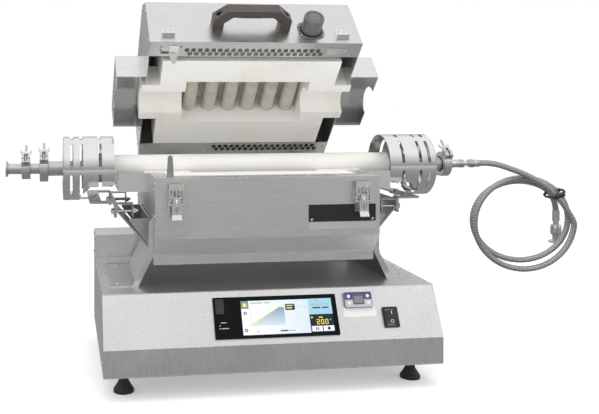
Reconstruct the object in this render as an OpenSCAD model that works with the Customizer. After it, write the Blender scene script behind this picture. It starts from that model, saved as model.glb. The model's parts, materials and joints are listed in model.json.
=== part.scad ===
/* [Base] */
// Width of the base housing, left to right
base_w = 600; // [560:1:640]
// Depth of the base housing, front to back
base_d = 376; // [360:1:400]
// Height of the base top above the bench
base_top = 172; // [165:1:180]
// Height of the gap under the base, filled by the feet
foot_h = 41; // [30:1:45]
// Height of the skirt below the sloped panel
skirt_h = 47; // [40:1:55]
// How far the top edge of the sloped panel lies behind the skirt
slope_run = 42; // [36:1:50]
// Depth of the electrics housing along the back
rear_d = 86; // [70:1:100]
// Height of the electrics housing above the base top
rear_h = 58; // [40:1:62]

/* [Furnace body] */
// Width of the furnace casing
body_w = 412; // [400:1:430]
// Depth of the furnace casing
body_d = 323; // [318:1:330]
// Height of the parting plane between body and lid
split_z = 370; // [368:1:380]
// Height of the flat front face below the parting plane
face_h = 108; // [100:1:116]
// Height of the lid above the parting plane
lid_h = 158; // [150:1:170]
// How far the lid stands open at rest, in degrees
lid_open = 45; // [20:1:55]
// Thickness of the casing sheet
sheet = 1.5; // [1:0.1:2]

/* [Heating] */
// Heated length of the chamber along the tube
chamber_l = 250; // [230:1:260]
// Depth of the chamber, front to back
chamber_w = 115; // [105:1:120]
// Diameter of a heating rod
rod_d = 28; // [20:1:30]
// Number of heating rods in each half
rod_n = 6; // [4:1:6]

/* [Work tube] */
// Outer diameter of the work tube
tube_d = 50; // [40:1:51]
// Bore of the work tube
tube_bore = 40; // [30:1:40]
// Diameter of the slotted shields
shield_d = 122; // [116:1:124]
// Length of a slotted shield
shield_l = 96; // [94:1:100]
// Diameter of the gas hose
hose_d = 12; // [10:0.5:13]

/* [Hidden] */
$fn = 48;
eps = 0.01;

steel = [0.72, 0.72, 0.71];
bright = [0.86, 0.87, 0.88];
black = [0.08, 0.08, 0.09];
white = [0.93, 0.92, 0.88];

// ---- places worked out from the driving sizes ----
panel_top_y = -base_d / 2 + slope_run;
panel_rise = base_top - foot_h - skirt_h;
panel_len = sqrt(slope_run * slope_run + panel_rise * panel_rise);
panel_tilt = atan2(panel_rise, slope_run);
rear_y = base_d / 2 - rear_d;

body_front = -128;
body_back = body_front + body_d;
body_floor = 234;
apron_z = 226;
apron_y = body_front + 30;
apron_h = 16;
rim_gap = 1.5;
lid_chamfer = 42;
tube_y = body_front + body_d / 2;
tube_z = split_z + 3;
tube_half = 306;
hinge_y = body_back + 14;
hinge_z = split_z + 18;

block_half = 177;
block_front = 48;
block_back = body_d - 37;
collar_half = 48;
collar_end = 213;
collar_high = 54;
collar_low = 31;
chamber_h = 76;
rod_h = 45;
rod_pitch = chamber_l / rod_n;
rod_reach = chamber_w / 2 + 18;
groove_r = tube_d / 2 + 5;

hole_pitch = 12.8;
hole_r = 4.8;
holes_front = 21;

box_x = 264;
box_half = 72;
lid_box_h = 58;
tray_h = 34;
shield_in = 270;
shield_out = shield_in + shield_l;

latch_x = 170;
latch_pivot_y = body_front - 9;
latch_pivot_z = split_z - 35;
loop_pivot_y = body_front - 11;
loop_pivot_z = latch_pivot_z - 11;

// ---- shared forms ----
module along_x(x, y, z, r, l) {
    translate([x, y, z]) rotate([0, 90, 0]) cylinder(r = r, h = l);
}

module along_y(x, y, z, r, l) {
    translate([x, y, z]) rotate([-90, 0, 0]) cylinder(r = r, h = l);
}

module x_prism(x0, x1, points) {
    translate([x0, 0, 0]) rotate([90, 0, 90]) linear_extrude(x1 - x0) polygon(points);
}

module y_prism(y0, y1, points) {
    translate([0, y1, 0]) rotate([90, 0, 0]) linear_extrude(y1 - y0) polygon(points);
}

// A solid of revolution about the tube axis: each point is [radius, x].
module tube_turned(points) {
    translate([0, tube_y, tube_z]) rotate([0, 90, 0]) rotate_extrude($fn = 64) polygon(points);
}

// Children drawn as if on the sloped panel: x to the right, y up the slope, z out of it.
module on_panel(x, down) {
    translate([x, panel_top_y, base_top]) rotate([panel_tilt, 0, 0]) translate([0, -down, 0])
        children();
}

module rounded_plate(w, h, r, t) {
    linear_extrude(t) rounded_outline(w, h, r);
}

module rounded_outline(w, h, r) {
    union() {
        square([w - 2 * r, h], center = true);
        square([w, h - 2 * r], center = true);
        for (x = [-1, 1], y = [-1, 1])
            translate([x * (w / 2 - r), y * (h / 2 - r)]) circle(r, $fn = 24);
    }
}

// Children drawn on the closed lid, turned up about the hinge to the rest angle.
// y runs from the front face to the hinge, z up from the parting plane.
module on_lid() {
    translate([0, hinge_y, hinge_z]) rotate([-lid_open, 0, 0])
        translate([0, body_front - hinge_y, split_z - hinge_z]) children();
}

module either_side(side) {
    if (side < 0) mirror([1, 0, 0]) children();
    else children();
}

// ---- base ----
module base_housing() color(steel) {
    outer = [
        [-base_d / 2, foot_h], [base_d / 2, foot_h], [base_d / 2, base_top],
        [panel_top_y, base_top], [-base_d / 2, foot_h + skirt_h]
    ];
    inner = [
        [-base_d / 2 + sheet, foot_h + sheet], [base_d / 2 - sheet, foot_h + sheet],
        [base_d / 2 - sheet, base_top - sheet], [panel_top_y + sheet, base_top - sheet],
        [-base_d / 2 + sheet, foot_h + skirt_h]
    ];
    difference() {
        x_prism(-base_w / 2, base_w / 2, outer);
        x_prism(-base_w / 2 + sheet, base_w / 2 - sheet, inner);
    }
}

module rear_housing() color(steel) {
    flange = 12;
    flange_h = 15;
    difference() {
        union() {
            translate([-base_w / 2, rear_y, base_top])
                cube([base_w, rear_d, rear_h]);
            translate([-base_w / 2 + 4, rear_y - flange, base_top])
                cube([base_w - 8, flange + 1, flange_h]);
        }
        translate([-base_w / 2 + sheet, rear_y + sheet, base_top - eps])
            cube([base_w - 2 * sheet, rear_d - 2 * sheet, rear_h - sheet]);
        // slots for the warm air of the electrics
        for (i = [-7:7])
            translate([i * 14 - 3, base_d / 2 - 5, base_top + 14]) cube([5, 10, 30]);
    }
}

module foot(x, y) color(black) {
    pad_r = 18;
    translate([x, y, 0]) rotate_extrude() polygon([
        [0, 0], [pad_r, 0], [pad_r, 5], [pad_r - 3, 9], [9, 19], [8, 24], [0, 24]
    ]);
    translate([x, y, 24]) cylinder(r = 5, h = foot_h - 24.3, $fn = 24);
    translate([x, y, 27]) cylinder(r = 8, h = 6, $fn = 6);
}

// ---- control panel ----
module touch_panel() color(black)
    on_panel(1.5, 47.5) rounded_plate(221, 71, 1.5, 3);

module usb_cover() color([0.13, 0.14, 0.16])
    on_panel(-98, 28) translate([0, 0, 3.3]) {
        rounded_plate(15, 26, 2, 1.4);
        translate([-6.9, -11, 0.7]) rotate([-90, 0, 0]) cylinder(r = 0.7, h = 22, $fn = 16);
    }

limiter_x = 153;
limiter_down = 24;
button_x = 17.5;
button_y = 6;
button_r = 3;

module limiter_body() color([0.3, 0.28, 0.42])
    on_panel(limiter_x, limiter_down) difference() {
        union() {
            rounded_plate(51, 27, 2, 5);
            translate([0, 0, 5 - eps]) rounded_plate(20, 17, 1, 0.8);
        }
        for (x = [-1, 1], y = [-1, 1])
            translate([x * button_x, y * button_y, 1.5]) cylinder(r = button_r + 0.2, h = 6);
    }

module limiter_button(x, y) color(white)
    on_panel(limiter_x, limiter_down)
        translate([x * button_x, y * button_y, 2.9]) cylinder(r = button_r, h = 3.3);

switch_x = 209;
switch_down = 56;
rocker_h = 4.6;

module switch_frame() color(black)
    on_panel(switch_x, switch_down) difference() {
        union() {
            rounded_plate(28, 36, 2, 2.4);
            for (x = [-1, 1]) translate([x * 11 - 1.5, -14, 0]) cube([3, 28, 6]);
        }
        translate([-9.3, -14, -1]) cube([18.6, 28, 8]);
        translate([-12, 0, rocker_h]) rotate([0, 90, 0]) cylinder(r = 1.05, h = 24, $fn = 24);
    }

module power_rocker() color([0.15, 0.13, 0.13])
    on_panel(switch_x, switch_down) translate([0, 0, rocker_h]) rotate([12, 0, 0]) {
        x_prism(-9, 9, [
            [-12, -0.6], [0, -1.2], [12, -0.6], [12, 2.4], [5, 1.4], [-5, 1.4], [-12, 2.4]
        ]);
        translate([-10.8, 0, 0]) rotate([0, 90, 0]) cylinder(r = 1, h = 21.6, $fn = 24);
    }

// ---- legs and tube brackets ----
leg_front = -97;
leg_foot_x = 234;
leg_bend_z = apron_z;
leg_top = 296;

module leg() {
    x0 = body_w / 2 + 0.2;
    t = 2;
    bend_z = leg_bend_z;
    union() {
        // foot flange, inclined web and upright wall, bent from one sheet
        y_prism(leg_front, rear_y - 14, [
            [283, base_top], [283, base_top + t], [leg_foot_x + 1, base_top + t],
            [x0 + t, bend_z], [x0 + t, leg_top], [x0, leg_top], [x0, bend_z - 0.5],
            [leg_foot_x - 1, base_top]
        ]);
        // stiffening flange along the front edge of the web
        y_prism(leg_front - t, leg_front + eps, [
            [leg_foot_x, base_top], [leg_foot_x + 11, base_top], [x0 + 10, bend_z],
            [x0 + 7, leg_top - 8], [x0, leg_top], [x0, bend_z - 0.5]
        ]);
    }
}

module left_leg() color(steel) either_side(-1) leg();
module right_leg() color(steel) either_side(1) leg();

bracket_y0 = -58;
bracket_y1 = 124;
clip_in = 238;
clip_out = 270;
clip_top = 316;
clip_w = 20;
clip_z0 = 291;
bolt_z = 301;

// Sloped shelf with triangular gussets, and an inverted clip at each end that takes a bolt.
module bracket() {
    t = 2;
    root_x = body_w / 2 + 2.2;
    root_z = 238;
    difference() {
        union() {
            y_prism(bracket_y0, bracket_y1, [
                [root_x, root_z - 4], [root_x + 3, root_z - 4], [clip_out, clip_top - 14],
                [clip_out, clip_top], [clip_out - t, clip_top], [clip_out - t, clip_top - 13],
                [root_x + t, root_z], [root_x + t, 288], [root_x, 288]
            ]);
            for (y = [bracket_y0, bracket_y1 - t])
                y_prism(y, y + t, [
                    [root_x + 0.5, root_z], [root_x + 2, root_z], [clip_in + 8, 284],
                    [clip_in + 8, 288], [root_x + 0.5, 288]
                ]);
            for (y = [bracket_y0, bracket_y1 - clip_w])
                y_prism(y, y + clip_w, [
                    [clip_in, clip_z0], [clip_in + t, clip_z0], [clip_in + t, clip_top - t],
                    [clip_out - t, clip_top - t], [clip_out - t, clip_z0], [clip_out, clip_z0],
                    [clip_out, clip_top], [clip_in, clip_top]
                ]);
        }
        for (y = [bracket_y0, bracket_y1 - clip_w])
            along_x(clip_in - 1, y + clip_w / 2, bolt_z, 3.2, clip_out - clip_in + 2);
    }
}

module left_bracket() color(steel) either_side(-1) bracket();
module right_bracket() color(steel) either_side(1) bracket();

rail_x = 318;
bar_w = 22;
bar_t = 3;
tab_x = clip_out + 0.1;

// A flat bar frame open towards the body, its two arms bent down into bolted tabs.
module cradle() {
    z0 = clip_top;
    x_in = rail_x - bar_w;
    mid = (bracket_y0 + bracket_y1) / 2;
    span = bracket_y1 - bracket_y0;
    difference() {
        union() {
            translate([(tab_x + rail_x) / 2, mid, z0]) linear_extrude(bar_t)
                rounded_outline(rail_x - tab_x, span, 12);
            for (y = [bracket_y0, bracket_y1 - bar_w]) {
                translate([tab_x, y, z0]) cube([14, bar_w, bar_t]);
                translate([tab_x, y, clip_z0 - 1]) cube([bar_t, bar_w, z0 - clip_z0 + 1 + eps]);
            }
        }
        translate([tab_x - 20, bracket_y0 + bar_w, z0 - 1])
            cube([x_in - tab_x + 20, span - 2 * bar_w, bar_t + 2]);
        for (y = [bracket_y0, bracket_y1 - clip_w])
            along_x(tab_x - 1, y + clip_w / 2, bolt_z, 3.2, bar_t + 2);
        translate([rail_x - bar_w / 2, tube_y, z0 - 1]) cylinder(r = 3.2, h = bar_t + 2);
    }
}

module left_cradle() color(steel) either_side(-1) cradle();
module right_cradle() color(steel) either_side(1) cradle();

// Screws through the clips and the cradle tabs, and one up through each cradle rail.
module cradle_bolts() color(bright)
    for (side = [-1, 1]) either_side(side) {
        for (y = [bracket_y0 + clip_w / 2, bracket_y1 - clip_w / 2]) {
            along_x(clip_in - 9, y, bolt_z, 3, tab_x + bar_t - clip_in + 15);
            translate([clip_in - 5.3, y, bolt_z]) rotate([0, 90, 0]) cylinder(r = 5.5, h = 5, $fn = 6);
            translate([tab_x + bar_t, y, bolt_z]) rotate([0, 90, 0]) cylinder(r = 5.5, h = 5, $fn = 6);
        }
        translate([rail_x - bar_w / 2, tube_y, clip_top - 6]) {
            cylinder(r = 3, h = bar_t + 10);
            cylinder(r = 5.5, h = 4, $fn = 6);
            translate([0, 0, 6 + bar_t]) cylinder(r = 5.5, h = 4, $fn = 6);
        }
    }

// ---- furnace body ----
face_z = split_z - face_h;
floor_inset = (face_z - body_floor) * (apron_y - body_front) / (face_z - apron_z);
body_outline = [
    [body_front, split_z - rim_gap], [body_front, face_z],
    [body_front + floor_inset, body_floor], [body_back - floor_inset, body_floor],
    [body_back, face_z], [body_back, split_z - rim_gap]
];
body_inner = [
    [body_front + sheet, split_z], [body_front + sheet, face_z + 0.6],
    [body_front + floor_inset + 0.8, body_floor + sheet],
    [body_back - floor_inset - 0.8, body_floor + sheet],
    [body_back - sheet, face_z + 0.6], [body_back - sheet, split_z]
];
// The sloped front runs on below the floor and ends in an upright apron.
apron = [
    [body_front + floor_inset, body_floor], [apron_y, apron_z], [apron_y, apron_z - apron_h],
    [apron_y + sheet, apron_z - apron_h], [apron_y + sheet, apron_z + 0.6],
    [body_front + floor_inset + 2, body_floor + eps]
];

module hole_strip(n, x0, y0, y1) {
    for (i = [0:n - 1]) {
        translate([x0 + i * hole_pitch, y0, 0]) cylinder(r = hole_r, h = 6, $fn = 16, center = true);
        translate([x0 + (i + 0.5) * hole_pitch, y1, 0])
            cylinder(r = hole_r, h = 6, $fn = 16, center = true);
    }
}

module lower_casing() color(steel) {
    rim_z = split_z - rim_gap - sheet;
    difference() {
        union() {
            difference() {
                x_prism(-body_w / 2, body_w / 2, body_outline);
                x_prism(-body_w / 2 + sheet, body_w / 2 - sheet, body_inner);
            }
            // rims that turn inwards over the insulation's edges
            for (y = [body_front + sheet - eps, body_front + block_back + 1])
                translate([-body_w / 2 + sheet, y, rim_z])
                    cube([body_w - 2 * sheet, block_front - 12 - sheet, sheet]);
            x_prism(-body_w / 2, body_w / 2, apron);
        }
        // openings in the end walls for the insulation collars
        translate([-body_w, tube_y - collar_half - 1, split_z - rim_gap - collar_low - 1])
            cube([2 * body_w, 2 * collar_half + 2, collar_low + 10]);
        // slot for the lid's tongue
        translate([hook_x - 9.5, body_front + 24, split_z - 8]) cube([19, 22, 12]);
        translate([0, body_front, split_z - rim_gap])
            hole_strip(holes_front, -holes_front * hole_pitch / 2, 20, 29);
    }
}

// Half of the insulation, below a parting plane at z = 0, tube axis on y = 0.
module insulation_half(collar_h) {
    y0 = block_front - body_d / 2;
    y1 = block_back - body_d / 2;
    difference() {
        union() {
            translate([-block_half, y0, -118]) cube([2 * block_half, y1 - y0, 118]);
            translate([-collar_end, -collar_half, -collar_h])
                cube([2 * collar_end, 2 * collar_half, collar_h]);
        }
        translate([-chamber_l / 2, -chamber_w / 2, -chamber_h])
            cube([chamber_l, chamber_w, chamber_h + 1]);
        along_x(-collar_end - 1, 0, 0, groove_r, 2 * collar_end + 2);
        for (i = [0:rod_n - 1])
            along_y((i - (rod_n - 1) / 2) * rod_pitch, -rod_reach, -rod_h, rod_d / 2 + 0.5, 2 * rod_reach);
    }
}

module rods_half() {
    for (i = [0:rod_n - 1])
        along_y((i - (rod_n - 1) / 2) * rod_pitch, -rod_reach + 1, -rod_h, rod_d / 2, 2 * rod_reach - 2);
}

module lower_insulation() color(white) translate([0, tube_y, split_z - rim_gap])
    insulation_half(collar_low);
module lower_rods() color([0.6, 0.58, 0.52]) translate([0, tube_y, split_z - rim_gap]) rods_half();

// Open box at the end of a casing half: mouth up at z = 0, tube notch in the outer wall.
module end_box(depth) {
    x0 = body_w / 2 + 0.1;
    difference() {
        translate([x0, -box_half, -depth]) cube([box_x - x0, 2 * box_half, depth]);
        translate([x0 - 1, -box_half + sheet, -depth + sheet])
            cube([box_x - x0 + 1 - sheet, 2 * box_half - 2 * sheet, depth]);
        along_x(x0 - 1, 0, 0, 31.5, box_x - x0 + 2);
    }
}

module lower_trays() color(steel)
    for (side = [-1, 1])
        either_side(side) translate([0, tube_y, split_z - rim_gap]) end_box(tray_h);

guide_x = -176;
guide_s = 25.5;
guide_w = 13;
guide_rise = 34;
guide_tip = 4.6;

// Upright tab that the closing lid slides over, bent up from a foot on the rim.
module guide_tab() color(bright)
    translate([guide_x, body_front + guide_s, split_z - rim_gap]) union() {
        y_prism(0, 1.5, [
            [-guide_w / 2, 0], [guide_w / 2, 0], [guide_tip, guide_rise], [-guide_tip, guide_rise]
        ]);
        translate([0, 1.5, guide_rise]) rotate([90, 0, 0]) cylinder(r = guide_tip, h = 1.5);
        translate([-guide_w / 2, 0, 0]) cube([guide_w, 10, 1.1]);
    }

// ---- hinge along the back ----
hinge_pin_r = 3;
knuckle_r = 6;
hinge_xs = [-150, 120];
knuckle_l = 14;

module hinge_knuckle(x, l) {
    difference() {
        along_x(x, hinge_y, hinge_z, knuckle_r, l);
        along_x(x - 1, hinge_y, hinge_z, hinge_pin_r + 0.05, l + 2);
    }
}

module hinge_lower() color(steel)
    for (x = hinge_xs) {
        for (dx = [0, 2 * knuckle_l]) {
            hinge_knuckle(x + dx, knuckle_l - 0.4);
            translate([x + dx, body_back, split_z - 40]) cube([knuckle_l - 0.4, 3, 37]);
            translate([x + dx, body_back + 0.4, split_z - 4]) cube([knuckle_l - 0.4, 2.6, 22]);
            translate([x + dx, body_back + 0.4, hinge_z - knuckle_r])
                cube([knuckle_l - 0.4, hinge_y - body_back - hinge_pin_r - 1.4, 3]);
        }
        translate([x, body_back, split_z - 40]) cube([3 * knuckle_l - 0.4, 3, 20]);
        along_x(x - 3, hinge_y, hinge_z, hinge_pin_r, 3 * knuckle_l + 6);
        for (dx = [-4.5, 3 * knuckle_l])
            along_x(x + dx, hinge_y, hinge_z, 5, 3);
    }

module hinge_upper() color(steel)
    for (x = hinge_xs) {
        hinge_knuckle(x + knuckle_l, knuckle_l - 0.4);
        on_lid() difference() {
            union() {
                translate([x + knuckle_l, body_d, 18 - knuckle_r + 2]) cube([knuckle_l - 0.4, 9, 3]);
                translate([x + knuckle_l, body_d, 12]) cube([knuckle_l - 0.4, 3, 12]);
                translate([x, body_d, 24 + 2]) cube([3 * knuckle_l - 0.4, 3, 22]);
                translate([x + knuckle_l, body_d, 22]) cube([knuckle_l - 0.4, 3, 8]);
            }
            along_x(x, body_d + 14, 18, hinge_pin_r + 1, 3 * knuckle_l);
        }
    }

// ---- toggle latches ----
module latch_base(x) color(bright) {
    difference() {
        union() {
            translate([x - 12, body_front - 1.5, latch_pivot_z - 30]) cube([24, 1.5, 44]);
            for (side = [-1, 1]) {
                translate([x + side * 8 - 1, latch_pivot_y, latch_pivot_z - 6]) cube([2, 8, 12]);
                along_x(x + side * 8 - 1, latch_pivot_y, latch_pivot_z, 6, 2);
            }
        }
        along_x(x - 12, latch_pivot_y, latch_pivot_z, 2.05, 24);
    }
}

// Pressed lever: channel section, tapering to a lifted finger tip.
module latch_lever(x) color(bright) {
    front = body_front - 15.5;
    difference() {
        union() {
            for (side = [-1, 1])
                translate([x + side * 5.8 - 0.7, 0, 0]) x_prism(0, 1.4, [
                    [front, latch_pivot_z + 3], [body_front - 5, latch_pivot_z + 3],
                    [body_front - 5, latch_pivot_z - 5], [body_front - 8, latch_pivot_z - 17],
                    [front, latch_pivot_z - 30]
                ]);
            translate([x - 6.5, front - 0.5, latch_pivot_z - 30]) cube([13, 1.5, 33]);
            x_prism(x - 8.5, x + 8.5, [
                [front - 0.5, latch_pivot_z - 12], [front + 1, latch_pivot_z - 12],
                [front + 1, latch_pivot_z - 29], [front - 3.5, latch_pivot_z - 38],
                [front - 5, latch_pivot_z - 37], [front - 0.5, latch_pivot_z - 28.5]
            ]);
            along_x(x - 10, latch_pivot_y, latch_pivot_z, 2, 20);
        }
        along_x(x - 12, loop_pivot_y, loop_pivot_z, 1.65, 24);
    }
}

// Draw loop: side strips joined by a hooked bridge that reaches over the catch.
module latch_loop(x) color(bright) {
    strip_y = loop_pivot_y - 2;
    top = split_z - 10;
    for (side = [-1, 1])
        translate([x + side * 12.3 - 0.8, strip_y, loop_pivot_z - 3]) cube([1.6, 4, top - loop_pivot_z + 3]);
    along_x(x - 13, loop_pivot_y, loop_pivot_z, 1.6, 26);
    translate([x - 13.1, strip_y - 0.8, top - 10]) cube([26.2, 1.6, 10]);
    translate([x - 13.1, strip_y - 0.8, top - 1.6]) cube([26.2, 8, 1.6]);
}

// ---- lid ----
lid_outline = [
    [0, 0], [body_d, 0], [body_d, lid_h - lid_chamfer], [body_d - lid_chamfer, lid_h],
    [lid_chamfer, lid_h], [0, lid_h - lid_chamfer]
];
lid_inner = [
    [sheet, -1], [body_d - sheet, -1], [body_d - sheet, lid_h - lid_chamfer - 0.6],
    [body_d - lid_chamfer - 0.6, lid_h - sheet], [lid_chamfer + 0.6, lid_h - sheet],
    [sheet, lid_h - lid_chamfer - 0.6]
];

module lid_casing() color(bright) on_lid() difference() {
    union() {
        difference() {
            x_prism(-body_w / 2, body_w / 2, lid_outline);
            x_prism(-body_w / 2 + sheet, body_w / 2 - sheet, lid_inner);
        }
        for (y = [sheet - eps, block_back + 1])
            translate([-body_w / 2 + sheet, y, 0])
                cube([body_w - 2 * sheet, block_front - 12 - sheet, sheet]);
    }
    translate([-body_w, body_d / 2 - collar_half - 1, -1])
        cube([2 * body_w, 2 * collar_half + 2, collar_high + 2]);
    hole_strip(holes_front, -holes_front * hole_pitch / 2, 20, 29);
    hole_strip(18, -45, block_back + 12, block_back + 21);
    // slot behind the handle
    translate([-26, -2, 71]) cube([46, 6, 5]);
    // clearance for the guide tab of the body when shut
    translate([guide_x - guide_w / 2 - 1.5, guide_s - 2, -1]) cube([guide_w + 2.5, 6, 3]);
}

module lid_insulation() color(white) on_lid() translate([0, body_d / 2, 0]) mirror([0, 0, 1])
    insulation_half(collar_high);
module upper_rods() color([0.6, 0.58, 0.52]) on_lid() translate([0, body_d / 2, 0]) mirror([0, 0, 1])
    rods_half();

module lid_box(side) color(steel) on_lid() either_side(side) translate([0, body_d / 2, 0])
    mirror([0, 0, 1]) {
        end_box(lid_box_h);
        // divider across the box, beside the tube
        for (y = [-42, 40])
            translate([collar_end + 2, y, -lid_box_h + 1]) cube([box_x - collar_end - 3, 1.5, 24]);
    }

handle_x = -8;
handle_w = 152;
handle_out = 46;
handle_h = 46;

// Bow handle with bevelled corners and a screw pocket in each bevel.
module lid_handle() color([0.3, 0.28, 0.27]) on_lid() {
    depth = 22;
    bow = [
        [0, 0], [0, 24], [26, handle_out], [handle_w - 26, handle_out], [handle_w, 24], [handle_w, 0],
        [handle_w - 21, 0], [handle_w - 21, 17], [handle_w - 37, 31], [37, 31], [21, 17], [21, 0]
    ];
    translate([handle_x - handle_w / 2, 0, handle_h - depth / 2]) mirror([0, 1, 0]) difference() {
        linear_extrude(depth) polygon(bow);
        for (px = [10.5, handle_w - 10.5]) {
            translate([px, -1, depth / 2]) rotate([-90, 0, 0]) cylinder(r = 2.6, h = 40);
            translate([px, 8, depth / 2]) rotate([-90, 0, 0]) cylinder(r = 5, h = 40);
        }
    }
}

module lid_cap() color([0.35, 0.34, 0.34]) on_lid()
    translate([110, 0, 36]) rotate([90, 0, 0]) {
        rotate_extrude() polygon([
            [0, 0], [18, 0], [19.5, 2], [19.5, 33], [18, 35], [14.5, 35], [14, 34], [0, 34]
        ]);
        linear_extrude(1.5) rounded_outline(50, 46, 14);
    }

module lid_catches() color(bright) on_lid()
    for (x = [-latch_x, latch_x]) {
        translate([x - 12, -1.5, 12]) cube([24, 1.5, 26]);
        translate([x - 12, -8, 16]) cube([24, 7, 1.5]);
        translate([x - 12, -8, 16]) cube([24, 1.5, 7]);
    }

// Bent tongue that dips into the body through a slot in its rim when the lid is shut.
hook_x = -159.5;

module lid_hook() color(bright) on_lid() translate([hook_x, 28, -0.1]) {
    translate([-8.5, -20, -1.2]) cube([17, 20.2, 1.2]);
    rotate([-55, 0, 0]) translate([0, 0, -1.2]) linear_extrude(1.2) union() {
        polygon([[-8.5, 0], [8.5, 0], [5, 16], [-5, 16]]);
        translate([0, 16]) circle(r = 5);
    }
}

module lid_rim_plates() color(bright) on_lid() {
    translate([-161, block_back + 3, -1.3]) cube([99, 33, 1.2]);
    translate([138, 12, -1.3]) cube([40, 16, 1.2]);
}

// ---- work tube, shields and gas fittings ----
module work_tube() color(white) difference() {
    along_x(-tube_half, tube_y, tube_z, tube_d / 2, 2 * tube_half);
    along_x(-tube_half - 1, tube_y, tube_z, tube_bore / 2, 2 * tube_half + 2);
}

sleeve_in = 282;
sleeve_out = 316;
stub_bore = 10;
stub_end = 393;

// Ring that seals each tube end, closed by a disc with the gas bore.
module tube_sleeves() color([0.6, 0.6, 0.6])
    for (side = [-1, 1]) either_side(side) tube_turned([
        [tube_d / 2 + eps, sleeve_in], [tube_d / 2 + 3, sleeve_in + 1],
        [tube_d / 2 + 3, sleeve_out], [stub_bore, sleeve_out], [stub_bore, tube_half],
        [tube_d / 2 + eps, tube_half]
    ]);

shield_slots = [297, 332, 350];
slot_w = 6;
slot_span = 46;

module shield() {
    r = shield_d / 2;
    difference() {
        tube_turned([
            [r - 1.2, shield_in], [r, shield_in], [r, shield_out - 2], [r - 2, shield_out],
            [15, shield_out + 2], [15, shield_out + 0.8], [r - 2.6, shield_out - 1.2],
            [r - 1.2, shield_out - 2.6]
        ]);
        // three rings of six cooling slots
        for (x = shield_slots, k = [0:5])
            translate([x - slot_w / 2, tube_y, tube_z]) rotate([0, 90, 0])
                rotate([0, 0, k * 60 + 59 - slot_span / 2]) rotate_extrude(angle = slot_span)
                    translate([r - 6, 0]) square([12, slot_w]);
        // open underside where the cradle passes through
        y_prism(tube_y - 70, tube_y + 70, [
            [shield_in - 1, tube_z - 80], [shield_in - 1, tube_z - 24], [shield_in + 5, tube_z - 31],
            [315, tube_z - 31], [334, tube_z - 51], [334, tube_z - 80]
        ]);
    }
    // tongue that rests under the cradle rail and takes its bolt
    difference() {
        y_prism(tube_y - 10, tube_y + 10, [
            [rail_x - bar_w, clip_top - 2], [340, clip_top - 2], [346, tube_z - r + 0.6],
            [356, tube_z - r + 0.6], [356, tube_z - r + 2.5], [347, tube_z - r + 2.5],
            [341, clip_top], [rail_x - bar_w, clip_top]
        ]);
        translate([rail_x - bar_w / 2, tube_y, clip_top - 3]) cylinder(r = 3.2, h = 5);
    }
}

module left_shield() color(steel) either_side(-1) shield();
module right_shield() color(steel) either_side(1) shield();

clamp_w = 16;
kf25_r = 20;
kf16_r = 15;
pipe_r = 10;
left_inner_x = 402;
left_outer_x = 436;
pipe_bore = 8;
pipe_end = 474;

// Stub with a clamping flange; x grows outwards from the furnace.
module stub_form(r, x1, flange_r) {
    tube_turned([
        [stub_bore, sleeve_out + 0.01], [r, sleeve_out + 0.01], [r, x1 - 6],
        [flange_r, x1 - 3], [flange_r, x1], [stub_bore, x1]
    ]);
}

module left_stub() color(steel) either_side(-1) stub_form(14, left_inner_x, kf25_r);
module right_stub() color(steel) either_side(1) stub_form(13, right_joint_x, kf25_r);

// Reducer to the small flange, and the pipe that ends in an open flange.
module left_pipe() color(steel) either_side(-1) {
    x0 = left_inner_x + 0.01;
    x1 = left_outer_x;
    tube_turned([
        [pipe_bore, x0], [kf25_r, x0], [kf25_r, x0 + 3], [pipe_r, x0 + 6], [pipe_r, x1 - 6],
        [kf16_r, x1 - 3], [kf16_r, x1], [pipe_bore, x1]
    ]);
    tube_turned([
        [pipe_bore, x1 + 0.01], [kf16_r, x1 + 0.01], [kf16_r, x1 + 3], [pipe_r, x1 + 6],
        [pipe_r, pipe_end - 5], [kf16_r, pipe_end - 3], [kf16_r, pipe_end], [pipe_bore, pipe_end]
    ]);
}

kf25_clamp_r = 25;
kf16_clamp_r = 19.5;
right_joint_x = 408;
clamp_turn = 50;
bolt_r = 2.4;
bolt_rise = 14;

// Children drawn with the clamp's split to the front, then turned up about the tube axis.
module on_clamp(x) {
    translate([x, tube_y, tube_z]) rotate([-clamp_turn, 0, 0]) children();
}

// Ring clamp in two halves: a lug with a pin at the back, a swing bolt across the split.
module ring_clamp(x, inner_r, outer_r) {
    half = clamp_w / 2;
    on_clamp(x) {
        difference() {
            union() {
                rotate([0, 90, 0]) rotate_extrude($fn = 64) polygon([
                    [inner_r + 0.4, -3.4], [inner_r + 0.4, 3.4], [inner_r - 4.4, half],
                    [outer_r - 1, half], [outer_r, half - 1], [outer_r, 1 - half],
                    [outer_r - 1, -half], [inner_r - 4.4, -half]
                ]);
                translate([-half, -outer_r - 9, -10]) cube([clamp_w, 12, 20]);
                translate([-half, outer_r - 3, -5]) cube([clamp_w, 7, 10]);
            }
            translate([-half - 1, -outer_r - 12, -0.8]) cube([clamp_w + 2, 16 + outer_r / 3, 1.6]);
            translate([-bolt_r - 0.4, -outer_r - 10, -11]) cube([2 * bolt_r + 0.8, 8, 22]);
        }
        translate([0, -outer_r - 5, -7]) cylinder(r = bolt_r, h = 31 + bolt_rise);
        along_x(-half, -outer_r - 5, -6, 2, clamp_w);
    }
}

module wing_nut(x, outer_r) {
    on_clamp(x) translate([0, -outer_r - 5, 10.2]) difference() {
        union() {
            rotate_extrude() polygon([[bolt_r + 0.05, 0], [6, 0], [4.6, 8], [bolt_r + 0.05, 8]]);
            for (side = [-1, 1]) either_side(side) rotate([90, 0, 0])
                translate([0, 0, -1]) linear_extrude(2)
                    polygon([[4, 0.5], [6, 1], [11, 10], [11.5, 15], [8.5, 16], [4, 6.5]]);
        }
        translate([0, 0, -1]) cylinder(r = bolt_r + 0.05, h = 20);
    }
}

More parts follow.
